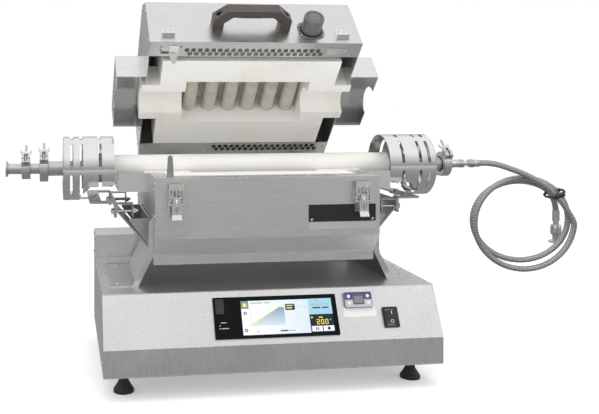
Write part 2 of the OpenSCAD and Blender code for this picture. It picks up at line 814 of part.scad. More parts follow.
module clamp_left_inner() color(steel) either_side(-1) ring_clamp(left_inner_x, kf25_r, kf25_clamp_r);
module clamp_left_outer() color(steel) either_side(-1) ring_clamp(left_outer_x, kf16_r, kf16_clamp_r);
module clamp_right() color(steel) ring_clamp(right_joint_x, kf25_r, kf25_clamp_r);
module wing_nut_left_inner() color(bright) either_side(-1) wing_nut(left_inner_x, kf25_clamp_r);
module wing_nut_left_outer() color(bright) either_side(-1) wing_nut(left_outer_x, kf16_clamp_r);
module wing_nut_right() color(bright) wing_nut(right_joint_x, kf25_clamp_r);

// ---- gas hose ----
hose_r = hose_d / 2;
hose_exit = 482;
coil_cx = 590;
coil_cz = 246;
coil_steps = 46;
coil_start = -2;
coil_sweep = 710;
// Lead from the ferrule to the coil, then the turns, each one farther back than the last.
lead = [
    [hose_exit, tube_y, tube_z], [505, tube_y, tube_z], [530, tube_y, tube_z - 4],
    [555, tube_y, tube_z - 12], [585, tube_y, tube_z - 23], [612, tube_y, tube_z - 36],
    [636, tube_y, tube_z - 50], [657, tube_y, tube_z - 68], [675, tube_y, tube_z - 88],
    [691, tube_y, tube_z - 112]
];
function smooth(t) = t <= 0 ? 0 : t * t * (3 - 2 * t);
function coil_point(u) = let (
    a = coil_start - coil_sweep * u,
    rx = 110 - 8 * u,
    rz = 100 - 24 * u
) [
    coil_cx - 2 * u + rx * cos(a),
    tube_y + 28 * u + 18 * smooth((u - 0.93) / 0.07),
    coil_cz + 8 * u + rz * sin(a)
];
route = concat(lead, [for (i = [0:coil_steps]) coil_point(i / coil_steps)]);
hose_last = len(route) - 1;

function unit(v) = v / norm(v);
function heading(i) = unit(route[min(i + 1, hose_last)] - route[max(i - 1, 0)]);
// The coil lies close to the x-z plane, so y serves as the reference direction.
function ring_point(i, a) = let (
    d = heading(i),
    s = unit(cross(d, [0, 1, 0])),
    n = cross(d, s)
) route[i] + hose_r * (cos(a) * s + sin(a) * n);

hose_sides = 10;

module gas_hose() color([0.6, 0.6, 0.6]) {
    points = [
        for (i = [0:hose_last], k = [0:hose_sides - 1]) ring_point(i, k * 360 / hose_sides)
    ];
    quads = [
        for (i = [0:hose_last - 1], k = [0:hose_sides - 1]) let (
            n = (k + 1) % hose_sides,
            a = i * hose_sides,
            b = a + hose_sides
        ) [a + k, a + n, b + n, b + k]
    ];
    first = [for (k = [hose_sides - 1:-1:0]) k];
    last = [for (k = [0:hose_sides - 1]) hose_last * hose_sides + k];
    polyhedron(points = points, faces = concat([first], quads, [last]));
}

hose_tip = route[hose_last];

// Adapter and ferrule at the furnace, union at the free end, and the tie round the turns.
module hose_ends() color(bright) {
    x0 = right_joint_x + 0.02;
    tube_turned([
        [0, x0], [kf25_r, x0], [kf25_r, x0 + 3], [12, x0 + 7], [9, x0 + 16], [8, 432], [8, 452],
        [4.5, 452], [4.5, 462], [7.5, 462], [7.5, hose_exit - 2], [6, hose_exit], [0, hose_exit]
    ]);
    translate(hose_tip) rotate([0, 180, 0]) rotate_extrude() polygon([
        [0, 0], [7.5, 0], [7.5, 22], [6, 24], [6, 30], [10, 31], [11, 36], [11, 48], [10, 52],
        [7, 54], [7, 62], [kf16_r, 66], [kf16_r, 69], [0, 69]
    ]);
    tie_turn = 42;
    tie = coil_point((coil_start + 360 - tie_turn) / coil_sweep);
    translate([tie[0] - 4, 48.5, tie[2] - 3.5]) rotate([0, -tie_turn, 0]) difference() {
        linear_extrude(5, center = true) rounded_outline(27, 52, 8);
        linear_extrude(7, center = true) rounded_outline(23.5, 48.5, 7);
    }
}

base_housing();
rear_housing();
foot(-262, -135);  // foot_front_left
foot(262, -135);  // foot_front_right
foot(-262, 150);  // foot_rear_left
foot(262, 150);  // foot_rear_right
touch_panel();
usb_cover();
limiter_body();
limiter_button(-1, 1);  // limiter_button_1
limiter_button(1, 1);  // limiter_button_2
limiter_button(-1, -1);  // limiter_button_3
limiter_button(1, -1);  // limiter_button_4
switch_frame();
power_rocker();
left_leg();
right_leg();
left_bracket();
right_bracket();
lower_casing();
lower_insulation();
lower_rods();
lower_trays();
guide_tab();
hinge_lower();
latch_base(-latch_x);  // latch_base_left
latch_base(latch_x);  // latch_base_right
latch_lever(-latch_x);  // latch_lever_left
latch_lever(latch_x);  // latch_lever_right
latch_loop(-latch_x);  // latch_loop_left
latch_loop(latch_x);  // latch_loop_right
lid_casing();
lid_insulation();
upper_rods();
lid_box(-1);  // lid_box_left
lid_box(1);  // lid_box_right
lid_handle();
lid_cap();
lid_catches();
lid_hook();
lid_rim_plates();
hinge_upper();
work_tube();
tube_sleeves();
left_shield();
right_shield();
left_cradle();
right_cradle();
cradle_bolts();
left_stub();
left_pipe();
right_stub();
clamp_left_inner();
clamp_left_outer();
clamp_right();
wing_nut_left_inner();
wing_nut_left_outer();
wing_nut_right();
gas_hose();
hose_ends();
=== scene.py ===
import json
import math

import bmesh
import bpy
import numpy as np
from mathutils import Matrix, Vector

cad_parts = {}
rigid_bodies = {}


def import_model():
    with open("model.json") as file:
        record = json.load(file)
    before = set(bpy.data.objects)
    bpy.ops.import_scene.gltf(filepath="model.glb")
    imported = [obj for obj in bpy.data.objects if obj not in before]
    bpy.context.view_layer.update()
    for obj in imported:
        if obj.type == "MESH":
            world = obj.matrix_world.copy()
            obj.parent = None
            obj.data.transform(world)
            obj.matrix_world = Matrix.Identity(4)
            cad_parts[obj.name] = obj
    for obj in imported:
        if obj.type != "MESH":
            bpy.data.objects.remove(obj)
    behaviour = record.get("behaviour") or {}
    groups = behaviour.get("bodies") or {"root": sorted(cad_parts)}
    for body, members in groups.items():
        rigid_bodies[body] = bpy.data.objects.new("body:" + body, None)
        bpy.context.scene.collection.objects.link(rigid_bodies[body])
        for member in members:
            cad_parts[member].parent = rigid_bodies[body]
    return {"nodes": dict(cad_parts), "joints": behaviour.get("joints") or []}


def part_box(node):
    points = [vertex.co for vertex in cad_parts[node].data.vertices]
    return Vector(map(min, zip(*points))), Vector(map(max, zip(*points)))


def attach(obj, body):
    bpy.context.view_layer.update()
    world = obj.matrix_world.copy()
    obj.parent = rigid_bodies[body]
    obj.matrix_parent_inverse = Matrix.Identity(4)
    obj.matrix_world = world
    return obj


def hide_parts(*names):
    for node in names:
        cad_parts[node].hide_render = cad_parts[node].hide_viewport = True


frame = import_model()

# %% [markdown]
# # A split tube furnace
# The furnace stands on a steel base with a sloped control panel. Its lid is hinged at the
# back and stands open, so the white insulation and the heating rods show, and the ceramic
# work tube lies in the lower half. The frame from the construction step is loaded above. It
# holds every solid at its true place, so nothing here needs to be fitted by eye. This file
# gives those solids their finishes and adds the small things that a solid leaves out: screws,
# braid, screen, springs and wires.

MM = 0.001
NODES = frame["nodes"]
JOINTS = {joint["name"]: joint for joint in frame["joints"]}
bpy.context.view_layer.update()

# %% [markdown]
# ## Sizes taken from the frame
# A screw looks right only when it sits on the sheet that it holds. The main planes could be
# typed in again here, but they would go stale if a solid changed, so they are read from the
# solids' boxes and from the joints. Blender counts in metres; the numbers in this file are in
# millimetres, as on a drawing, and each shape is scaled once, when it becomes a mesh.

# %% Main planes of the furnace
def node_box(name):
    """Lowest and highest corner of one solid, to a tenth of a millimetre."""
    return (np.array(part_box(name)) / MM).round(1)


def joint_at(name):
    """The point in millimetres that a joint turns about."""
    return [round(v / MM, 1) for v in JOINTS[name]["pos_m"]]


(_, BASE_FRONT, _), (BASE_HALF, BASE_BACK, DECK_Z) = node_box("base_housing").tolist()
(_, BODY_FRONT, BODY_FLOOR), (BODY_HALF, BODY_BACK, BODY_TOP) = node_box("lower_casing").tolist()
_, TUBE_Y, TUBE_Z = node_box("right_stub").mean(axis=0).round(1).tolist()
LEFT_RIGHT = (-1, 1)
print("base half width", BASE_HALF, " body half width", BODY_HALF, " tube axis", TUBE_Y, TUBE_Z)

# %% [markdown]
# ## The camera
# The furnace is seen from the front left and a little above. A camera that is tipped down
# makes uprights lean together. Moving the lens across the sensor, which is called shift,
# frames the object without tipping, but it also moves the object in every other view. So a
# long lens takes a moderate shift here, and the rest is done by turning the camera.

# %% Place the camera
def aim(yaw, pitch, roll):
    """Euler angles, from degrees, of a camera along +Y turned right, tipped up and rolled."""
    return (math.radians(90 + pitch), math.radians(roll), -math.radians(yaw))


camera_data = bpy.data.cameras.new("view")
camera = bpy.data.objects.new("view", camera_data)
bpy.context.scene.collection.objects.link(camera)
bpy.context.scene.camera = camera
camera_data.sensor_width = 36.0
camera_data.lens = 48.326
camera_data.shift_x, camera_data.shift_y = 0.22, -0.18
camera.location = (-0.3705, -1.5265, 0.5283)
camera.rotation_euler = aim(yaw=7.59, pitch=-0.81, roll=-0.04)
print("camera at", tuple(camera.location))

# %% [markdown]
# ## The gas hose
# A metal bellows inside a braid of thin wire: stiff, about 12 mm thick, looped twice in the
# air beside the furnace and held by a tie. It hangs from its fitting. It could be drawn as a
# curve object by hand, but its length has to be known, so its route is a list of points: a
# short lead out of the fitting, then an ellipse that shrinks and steps back turn by turn. The
# last stretch steps back once more, so that the end fitting hangs behind the turns.

# %% Work out the hose's route
HOSE_D = 12.0
LEAD = [(482, 0), (505, 0), (530, -4), (555, -12), (585, -23), (612, -36), (636, -50),
        (657, -68), (675, -88), (691, -112)]  # x, and height above the tube's axis
FIRST_TURN = (590, 246, 110, 100)  # centre x and z, half width, half height
LAST_TURN = (588, 254, 102, 76)
COIL_START, COIL_SWEEP = -2, -710  # degrees
COIL_POINTS = 47
STEP_BACK, END_STEP, END_PART = 28, 18, 0.07


def smooth(t):
    """Zero below 0, then the curve 3 t^2 - 2 t^3, which starts and ends level."""
    t = np.clip(t, 0, 1)
    return t * t * (3 - 2 * t)


def coil_points(u):
    """An ellipse that goes from the first turn's size to the last turn's as u goes to 1."""
    first, last = np.array(FIRST_TURN, float), np.array(LAST_TURN, float)
    x0, z0, wide, high = first[:, None] + (last - first)[:, None] * u
    a = np.radians(COIL_START + COIL_SWEEP * u)
    back = STEP_BACK * u + END_STEP * smooth((u - 1 + END_PART) / END_PART)
    return np.stack([x0 + wide * np.cos(a), TUBE_Y + back, z0 + high * np.sin(a)], axis=1)


lead_points = np.array([(x, TUBE_Y, TUBE_Z + rise) for x, rise in LEAD])
hose_path = np.vstack([lead_points, coil_points(np.linspace(0, 1, COIL_POINTS))])

# %% [markdown]
# ## How shapes become meshes
# Blender's own primitives would do for a few parts, but springs, screw heads and straps are
# easier as surfaces: a grid of points, one index along the surface and one around it. These
# helpers turn a grid, a turned profile, a flat outline or a path into points and faces. A
# face joins four neighbours of the grid, so numpy makes all of them at once.

# %% Grids of points
def grid(points, close_u=False):
    """Quads over rings P[u, v], each joining (u, v), (u+1, v), (u+1, v+1) and (u, v+1).

    The rings are closed along v. Along u they either close too or end in flat caps.
    """
    index = np.arange(points.shape[0] * points.shape[1]).reshape(points.shape[:2])
    here = index if close_u else index[:-1]
    down = np.roll(index, -1, axis=0) if close_u else index[1:]
    quads = np.stack([here, down, np.roll(down, -1, 1), np.roll(here, -1, 1)], -1)
    faces = quads.reshape(-1, 4).tolist()
    if not close_u:
        faces.append(index[0].tolist())
        faces.append(index[-1][::-1].tolist())
    return points.reshape(-1, 3), faces


print("a tube of 3 rings of 4 points has", len(grid(np.zeros((3, 4, 3)))[1]), "faces")

# %% [markdown]
# ## Turned shapes and rings
# Screw heads, nuts, rivets and collars come off a lathe. Here too a profile, given as radius
# and height, is carried round an axis. With six sides instead of many it makes a hexagon. The
# axis may point anywhere, so three unit vectors are worked out from it first.

# %% Profiles carried round an axis
def frame_of(normal):
    """Three unit vectors: one across, one along the face and the normal itself."""
    n = np.array(normal, float) / np.linalg.norm(normal)
    ref = np.array([1.0, 0, 0]) if abs(n[2]) > 0.95 else np.array([0, 0, 1.0])
    across = np.cross(ref, n)
    across /= np.linalg.norm(across)
    return across, np.cross(n, across), n


def turned(profile, centre, normal, sides=24):
    """Each profile point (r, h) makes the ring centre + h n + r (cos a, sin a)."""
    across, along, n = frame_of(normal)
    r, h = np.array(profile, float).T
    a = np.linspace(0, 2 * np.pi, sides, endpoint=False)
    ring = np.cos(a)[:, None] * across + np.sin(a)[:, None] * along
    return grid(np.array(centre, float) + h[:, None, None] * n + r[:, None, None] * ring)


def ring_at(r_in, r_out, h0, h1, centre, normal, sides=40):
    """A flat ring: the rectangle from (r_in, h0) to (r_out, h1) turned about the normal."""
    across, along, n = frame_of(normal)
    a = np.linspace(0, 2 * np.pi, sides, endpoint=False)
    turn = np.cos(a)[:, None] * across + np.sin(a)[:, None] * along
    corners = [(r_in, h0), (r_out, h0), (r_out, h1), (r_in, h1)]
    rows = [np.array(centre, float) + h * n + r * turn for r, h in corners]
    return grid(np.stack(rows, 1), close_u=True)


print("a unit frame about Z:", [v.round(2).tolist() for v in frame_of((0, 0, 1))])

# %% [markdown]
# ## Plates and tubes
# Labels and marks are flat outlines given a small thickness. Wires, springs and the hose are
# circles carried along a path. The circle must not spin as the path bends, or the tube looks
# wrung, so its plane is set at every point from one fixed direction.

# %% Outlines, plates and tubes
def plate(outline, centre, axes, thick, lift=0.0):
    """A flat outline (x, y) carried from lift to lift + thick along the third axis."""
    across, along, n = (np.array(v, float) for v in axes)
    flat = np.array(outline, float)
    base = np.array(centre, float) + flat[:, :1] * across + flat[:, 1:] * along
    return grid(np.stack([base + lift * n, base + (lift + thick) * n]))


def bar(x0, y0, x1, y1):
    """The four corners of a rectangle, anticlockwise."""
    return [(x0, y0), (x1, y0), (x1, y1), (x0, y1)]


def rounded(w, h, r, steps=5, x=0.0, y=0.0):
    """A rectangle of w by h round (x, y) whose corners are quarter circles of radius r."""
    angles = np.radians(np.linspace(0, 90, steps))
    corners = [(w / 2 - r, h / 2 - r, 0), (r - w / 2, h / 2 - r, 90),
               (r - w / 2, r - h / 2, 180), (w / 2 - r, r - h / 2, 270)]
    return [(x + cx + r * math.cos(t + math.radians(turn)),
             y + cy + r * math.sin(t + math.radians(turn)))
            for cx, cy, turn in corners for t in angles]


def swept(path, radius, sides=8, close=False):
    """A tube: at each path point a circle across the path, its start set by one fixed axis."""
    p = np.array(path, float)
    d = np.roll(p, -1, 0) - np.roll(p, 1, 0) if close else np.gradient(p, axis=0)
    d /= np.linalg.norm(d, axis=1, keepdims=True)
    ref = np.array([0.0, 1, 0]) if abs(d[0, 1]) < 0.9 else np.array([1.0, 0, 0])
    side = np.cross(d, ref)
    side /= np.linalg.norm(side, axis=1, keepdims=True)
    other = np.cross(d, side)
    a = np.linspace(0, 2 * np.pi, sides, endpoint=False)
    r = np.broadcast_to(np.asarray(radius, float), len(p))[:, None, None]
    ring = np.cos(a)[None, :, None] * side[:, None] + np.sin(a)[None, :, None] * other[:, None]
    return grid(p[:, None] + r * ring, close_u=close)


print("a rounded label has", len(rounded(59, 17, 0.8)), "corner points")

# %% [markdown]
# ## From shapes to a piece
# A row of screws is one piece, not ten, so several shapes go into one mesh. Points that fall
# on each other are merged and the normals are worked out again, so that every face looks
# outwards. Faces that meet at more than a set angle keep a hard edge. Then the piece is tied
# to the body that carries it, and to the finish given for it.

# %% Put shapes into one object
def piece(name, shapes, body, material, smooth_angle=35.0):
    """One closed mesh from several shapes in millimetres, riding on its body."""
    points, faces, start = [], [], 0
    for p, f in shapes:
        points.append(np.asarray(p, float))
        faces += [[i + start for i in face] for face in f]
        start += len(p)
    mesh = bpy.data.meshes.new(name)
    mesh.from_pydata((np.vstack(points) * MM).tolist(), [], faces)
    work = bmesh.new()
    work.from_mesh(mesh)
    bmesh.ops.remove_doubles(work, verts=work.verts, dist=1e-7)
    bmesh.ops.recalc_face_normals(work, faces=work.faces)
    work.to_mesh(mesh)
    work.free()
    obj = bpy.data.objects.new(name, mesh)
    bpy.context.scene.collection.objects.link(obj)
    mesh.shade_smooth()
    mesh.set_sharp_from_angle(angle=math.radians(smooth_angle))
    mesh.materials.append(material)
    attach(obj, body)
    print(f"{name}: {len(mesh.polygons)} faces on {body}")
    return obj


print("ready to make pieces")

# %% [markdown]
# ## Materials in layers
# No surface here is one even colour. Steel has strokes and stains, plastic has a grain, felt
# is matted. An image could show that, but it would need a map on every solid. Noise that is
# worked out from each point's own place needs none and never repeats. Each helper adds one
# layer to a Principled shader: a noise, a range, a colour ramp or a bump.

# %% Shader and noise
def shader(name, colour, rough, metal=0.0, **sockets):
    """A new material with a Principled shader, its plain values set on the sockets."""
    material = bpy.data.materials.new(name)
    material.use_nodes = True
    tree = material.node_tree
    bsdf = tree.nodes["Principled BSDF"]
    bsdf.inputs["Base Color"].default_value = (*colour, 1)
    bsdf.inputs["Roughness"].default_value = rough
    bsdf.inputs["Metallic"].default_value = metal
    for key, value in sockets.items():
        bsdf.inputs[key.replace("_", " ")].default_value = value
    return material, tree, bsdf


def noise(tree, scale, size=1.0, detail=3.0, rough=0.5, warp=0.0):
    """Noise over Object coordinates stretched by scale; size is how fine, per metre."""
    coords = tree.nodes.new("ShaderNodeTexCoord")
    mapping = tree.nodes.new("ShaderNodeMapping")
    mapping.inputs["Scale"].default_value = scale
    texture = tree.nodes.new("ShaderNodeTexNoise")
    texture.inputs["Scale"].default_value = size
    texture.inputs["Detail"].default_value = detail
    texture.inputs["Roughness"].default_value = rough
    texture.inputs["Distortion"].default_value = warp
    tree.links.new(coords.outputs["Object"], mapping.inputs["Vector"])
    tree.links.new(mapping.outputs["Vector"], texture.inputs["Vector"])
    return texture.outputs["Fac"]


EVEN = (1, 1, 1)
print("noise is stretched by", EVEN, "where it has no direction")

# %% Ranges, sums, ramps and bumps
def spread(tree, value, low, high, start=0.3, end=0.7):
    """Maps a value that runs from start to end onto the range from low to high."""
    node = tree.nodes.new("ShaderNodeMapRange")
    for key, number in (("From Min", start), ("From Max", end), ("To Min", low), ("To Max", high)):
        node.inputs[key].default_value = number
    tree.links.new(value, node.inputs["Value"])
    return node.outputs["Result"]


def combine(tree, a, b, how="MULTIPLY"):
    """One number from two, by the named operation."""
    node = tree.nodes.new("ShaderNodeMath")
    node.operation = how
    for socket, value in zip(node.inputs, (a, b)):
        if isinstance(value, (int, float)):
            socket.default_value = value
        else:
            tree.links.new(value, socket)
    return node.outputs[0]


def blend_of(tree, a, b, share):
    """The sum of share parts of a and the rest of b, where share is at most 1."""
    return combine(tree, combine(tree, a, share), combine(tree, b, round(1 - share, 2)), "ADD")


def colours(tree, bsdf, value, stops):
    """A colour ramp over value into the base colour; stops are (place, colour)."""
    ramp = tree.nodes.new("ShaderNodeValToRGB")
    while len(ramp.color_ramp.elements) < len(stops):
        ramp.color_ramp.elements.new(0.5)
    for element, (place, colour) in zip(ramp.color_ramp.elements, stops):
        element.position = place
        element.color = (*colour, 1)
    tree.links.new(value, ramp.inputs["Fac"])
    tree.links.new(ramp.outputs["Color"], bsdf.inputs["Base Color"])


def relief(tree, bsdf, value, strength, depth):
    """Bump of the given depth in metres."""
    bump = tree.nodes.new("ShaderNodeBump")
    bump.inputs["Strength"].default_value = strength
    bump.inputs["Distance"].default_value = depth
    tree.links.new(value, bump.inputs["Height"])
    tree.links.new(bump.outputs["Normal"], bsdf.inputs["Normal"])


print("material layers ready")

# %% [markdown]
# ## Brushed steel
# Nearly everything here is sheet steel, and one sheet is told from the next by its grain. A
# brushing belt leaves fine strokes in one direction. Anisotropic gloss can fake them, but it
# shows no stroke close up. So a noise is squeezed hard along two directions and left long in
# the third. The strokes move the colour, the roughness and, very slightly, the surface, and
# a slow second noise adds the uneven sheen left by handling.

# %% Brushed and rolled sheets
UPRIGHT, ACROSS, ROUND_X = (420, 420, 28), (22, 420, 420), (420, 22, 22)  # strokes per metre


def brushed(name, tone, grain, rough, contrast, warm=0.0):
    """Brushed steel: strokes along the axis whose number in grain is small."""
    base = (tone, tone * (1 - warm * 0.5), tone * (1 - warm))
    material, tree, bsdf = shader(name, base, rough[0], metal=1.0)
    strokes = noise(tree, grain, detail=4, rough=0.65)
    handling = noise(tree, EVEN, size=7, detail=3, warp=0.6)
    mixed = blend_of(tree, strokes, handling, 0.7)
    dark = tuple(c * (1 - contrast) for c in base)
    light = tuple(min(1, c * (1 + contrast)) for c in base)
    colours(tree, bsdf, mixed, [(0.35, dark), (0.65, light)])
    tree.links.new(spread(tree, mixed, *rough, 0.35, 0.65), bsdf.inputs["Roughness"])
    relief(tree, bsdf, strokes, 0.06, 0.00015)
    return material


base_steel = brushed("brushed steel, base", 0.79, UPRIGHT, (0.30, 0.46), 0.10)
body_steel = brushed("brushed steel, body", 0.76, ACROSS, (0.34, 0.48), 0.08, warm=0.02)
lid_steel = brushed("brushed steel, lid", 0.71, ACROSS, (0.26, 0.38), 0.05)
# Brackets and cradles: the same steel made darker than the other sheets, as painted shade for their
# place in the shields' shadow.
shaded_bracket_steel = brushed("steel with painted shade, brackets", 0.56, (500, 500, 90), (0.26, 0.42), 0.07, warm=0.03)
tray_steel = brushed("rolled steel, trays", 0.78, ACROSS, (0.14, 0.26), 0.05)
turned_steel = brushed("turned steel, fittings", 0.62, (1400, 120, 120), (0.24, 0.36), 0.10)
shield_steel = brushed("rolled steel, shields", 0.80, ROUND_X, (0.08, 0.17), 0.04)
sleeve_grey = brushed("sandblasted aluminium", 0.48, (500, 500, 500), (0.45, 0.6), 0.06)
print("sheet finishes:", len(bpy.data.materials))

# %% [markdown]
# ## Plating and castings
# Latches, nuts and screws are zinc or nickel plated, and the clamps are cast. Plating has no
# grain: it is bright with small soft stains, so one even noise is enough.

# %% Plated and cast parts
def plated(name, tone, rough):
    """Plating: tone and roughness drift a little with one even noise."""
    bright = (tone, tone, tone * 0.985)
    material, tree, bsdf = shader(name, bright, rough, metal=1.0)
    stains = noise(tree, EVEN, size=90, detail=4, rough=0.5)
    colours(tree, bsdf, stains, [(0.3, (tone * 0.9,) * 3), (0.6, bright)])
    tree.links.new(spread(tree, stains, rough, rough + 0.1), bsdf.inputs["Roughness"])
    relief(tree, bsdf, stains, 0.05, 0.0001)
    return material


bright_plating = plated("bright plating", 0.80, 0.14)
dull_plating = plated("dull plating", 0.46, 0.32)
cast_aluminium = plated("cast aluminium", 0.66, 0.26)
print("steel finishes:", len(bpy.data.materials))

# %% [markdown]
# ## Insulation, rods and tube
# The insulation is felted ceramic fibre: matt, warm white, and a little darker where it has
# been hot. The rods wear a rough sand-coloured coat. The work tube is smooth fired ceramic.
# All three are pale, so what tells them apart is the size of the grain and the gloss: a deep
# matted bump with sheen, coarse grains with none, and a thin clear coat over a fine one.

# %% Felted insulation
def fibre(name):
    """Matt felt: fine matting in the bump, slow warm stains in the colour."""
    material, tree, bsdf = shader(name, (0.9, 0.87, 0.8), 0.92, Sheen_Weight=0.15)
    stains = noise(tree, EVEN, size=9, detail=5, rough=0.55, warp=0.8)
    matting = noise(tree, (160, 160, 260), detail=6, rough=0.7)
    colours(tree, bsdf, blend_of(tree, stains, matting, 0.65),
            [(0.3, (0.84, 0.80, 0.72)), (0.45, (0.92, 0.905, 0.865)), (0.7, (0.95, 0.94, 0.915))])
    relief(tree, bsdf, matting, 0.35, 0.0008)
    return material


insulation_white = fibre("ceramic fibre board")
print("insulation ready")

# %% Rods and work tube
def coated_rod(name):
    """Sand-coloured coat: coarse grains in the bump, slow bands along the rod."""
    material, tree, bsdf = shader(name, (0.5, 0.46, 0.38), 0.75)
    grains = noise(tree, EVEN, size=420, detail=5, rough=0.7)
    bands = noise(tree, (8, 90, 8), detail=2)
    colours(tree, bsdf, blend_of(tree, grains, bands, 0.6),
            [(0.32, (0.42, 0.395, 0.335)), (0.5, (0.58, 0.55, 0.475)), (0.68, (0.72, 0.69, 0.60))])
    relief(tree, bsdf, grains, 0.5, 0.0006)
    return material


def fired_tube(name):
    """Smooth ceramic: long soft clouds in colour and roughness under a thin coat."""
    material, tree, bsdf = shader(name, (0.88, 0.86, 0.81), 0.35,
                                  Coat_Weight=0.25, Coat_Roughness=0.2)
    clouds = noise(tree, (3, 12, 12), size=1.5, detail=4)
    colours(tree, bsdf, clouds, [(0.3, (0.90, 0.88, 0.83)), (0.7, (0.94, 0.93, 0.90))])
    tree.links.new(spread(tree, clouds, 0.28, 0.45), bsdf.inputs["Roughness"])
    relief(tree, bsdf, noise(tree, EVEN, size=600, detail=2), 0.06, 0.0002)
    return material


rod_coat = coated_rod("heating rod coat")
tube_ceramic = fired_tube("fired ceramic tube")
print("ceramic finishes ready")

# %% [markdown]
# ## Plastics, rubber and glass
# The handle, the cap, the switch and the meter are moulded, the feet are rubber and the
# screen is black glass. A mould leaves a grain that breaks up the highlight, so a noise of
# about a millimetre goes into the bump. Without it, black plastic looks like paint. The
# glass takes the same layers with a far lower bump and a weak reflection.

# %% Plastic finishes
def moulded(name, dark, light, rough, size=900, depth=0.0002, **sockets):
    """Moulded plastic: fine grain in the bump, a slight drift of colour and roughness."""
    material, tree, bsdf = shader(name, light, rough, **sockets)
    drift = noise(tree, EVEN, size=30, detail=3)
    grain = noise(tree, EVEN, size=size, detail=2)
    colours(tree, bsdf, drift, [(0.3, dark), (0.7, light)])
    tree.links.new(spread(tree, drift, rough * 0.85, rough * 1.15), bsdf.inputs["Roughness"])
    relief(tree, bsdf, grain, 0.25, depth)
    return material


handle_plastic = moulded("handle plastic", (0.060, 0.050, 0.046), (0.085, 0.073, 0.067), 0.42)
cap_plastic = moulded("cap plastic", (0.125, 0.12, 0.118), (0.17, 0.165, 0.16), 0.38)
black_plastic = moulded("black plastic", (0.016, 0.016, 0.018), (0.03, 0.03, 0.033), 0.4)
rocker_plastic = moulded("rocker plastic", (0.030, 0.024, 0.024), (0.05, 0.042, 0.04), 0.3)
cover_plastic = moulded("port cover", (0.014, 0.016, 0.021), (0.024, 0.027, 0.035), 0.28)
button_white = moulded("button plastic", (0.70, 0.70, 0.72), (0.80, 0.80, 0.81), 0.3)
meter_purple = moulded("meter body", (0.13, 0.115, 0.20), (0.17, 0.15, 0.25), 0.35)
panel_glass = moulded("screen glass", (0.002, 0.002, 0.003), (0.004, 0.004, 0.005), 0.1,
                      depth=0.00001, Specular_IOR_Level=0.12)
rubber_black = moulded("foot rubber", (0.012, 0.012, 0.012), (0.025, 0.024, 0.024), 0.55, size=500)
print("plastic finishes ready")

# %% [markdown]
# ## One finish for every solid
# The solids came in with plain colours. Each finish now takes the solids it belongs to. The
# table runs from finish to names, because one roll of steel makes many parts. What is left
# over is printed, so that no solid keeps its plain colour by mistake.

# %% Give every solid its finish
FEET = ["foot_front_left", "foot_front_right", "foot_rear_left", "foot_rear_right"]
FINISHES = {
    base_steel: ["base_housing", "rear_housing"],
    body_steel: ["lower_casing"],
    lid_steel: ["lid_casing"],
    shaded_bracket_steel: ["left_bracket", "right_bracket", "left_cradle", "right_cradle"],
    tray_steel: ["lower_trays", "lid_box_left", "lid_box_right", "left_leg", "right_leg",
                 "hinge_lower", "hinge_upper", "lid_rim_plates"],
    turned_steel: ["left_stub", "left_pipe", "right_stub", "hose_ends"],
    shield_steel: ["left_shield", "right_shield"],
    bright_plating: ["latch_base_left", "latch_base_right", "latch_lever_left",
                     "latch_lever_right", "latch_loop_left", "latch_loop_right", "lid_catches",
                     "lid_hook", "wing_nut_left_inner", "wing_nut_left_outer", "wing_nut_right",
                     "cradle_bolts"],
    dull_plating: ["guide_tab"],
    cast_aluminium: ["clamp_left_inner", "clamp_left_outer", "clamp_right"],
    insulation_white: ["lower_insulation", "lid_insulation"],
    rod_coat: ["lower_rods", "upper_rods"],
    tube_ceramic: ["work_tube"],
    sleeve_grey: ["tube_sleeves"],
    handle_plastic: ["lid_handle"],
    cap_plastic: ["lid_cap"],
    panel_glass: ["touch_panel"],
    cover_plastic: ["usb_cover"],
    meter_purple: ["limiter_body"],
    button_white: [f"limiter_button_{k}" for k in range(1, 5)],
    black_plastic: ["switch_frame"],
    rocker_plastic: ["power_rocker"],
    rubber_black: FEET,
}
for material, names in FINISHES.items():
    for name in names:
        for material_slot in NODES[name].material_slots:
            material_slot.material = material
unpainted = set(NODES) - {n for names in FINISHES.values() for n in names} - {"gas_hose"}
print("finished solids:", sum(map(len, FINISHES.values())), " left over:", sorted(unpainted))

# %% [markdown]
# ## The braid
# The hose's braid is two families of wires that run round it in opposite directions. Real
# wires could be swept one by one, but that takes hundreds of thousands of faces for something
# half a millimetre thick. So the tube carries a map with u round it and v along it, and each
# family is a slanted sine wave in that map. The larger of the two waves is the wire on top,
# and the same height goes into the bump and into the colour: near black in the gaps, which is
# painted shade between the wires, and lightest on the wires' crowns, which is painted highlight.

# %% The braid's finish
BRAID_TURNS, BRAID_WIRES = 85, 10  # turns per metre, and wires of one family round the hose


def braid_material():
    """Wire whose height is the larger of two slanted sine waves in the tube's own map."""
    material, tree, bsdf = shader("steel braid", (0.62, 0.62, 0.61), 0.3, metal=1.0)
    coords = tree.nodes.new("ShaderNodeTexCoord")
    split = tree.nodes.new("ShaderNodeSeparateXYZ")
    tree.links.new(coords.outputs["UV"], split.inputs[0])
    around = combine(tree, split.outputs[0], 2 * math.pi * BRAID_WIRES)
    along = combine(tree, split.outputs[1], 2 * math.pi * BRAID_TURNS)
    waves = []
    for how in ("ADD", "SUBTRACT"):
        slant = combine(tree, around, along, how)
        wave = combine(tree, slant, 0, "SINE")
        strands = combine(tree, combine(tree, slant, 5.0), 0, "SINE")
        waves.append(combine(tree, wave, combine(tree, strands, 0.22), "ADD"))
    height = combine(tree, waves[0], waves[1], "MAXIMUM")
    value = spread(tree, height, 0, 1, -0.6, 1.1)
    # Painted shade in the gaps between the wires and a painted highlight on their crowns.
    colours(tree, bsdf, value, [(0.15, (0.08, 0.078, 0.075)), (0.5, (0.42, 0.415, 0.41)),
                                (0.95, (0.74, 0.735, 0.73))])
    tree.links.new(spread(tree, value, 0.45, 0.2, 0, 1), bsdf.inputs["Roughness"])
    relief(tree, bsdf, height, 0.8, 0.0004)
    return material


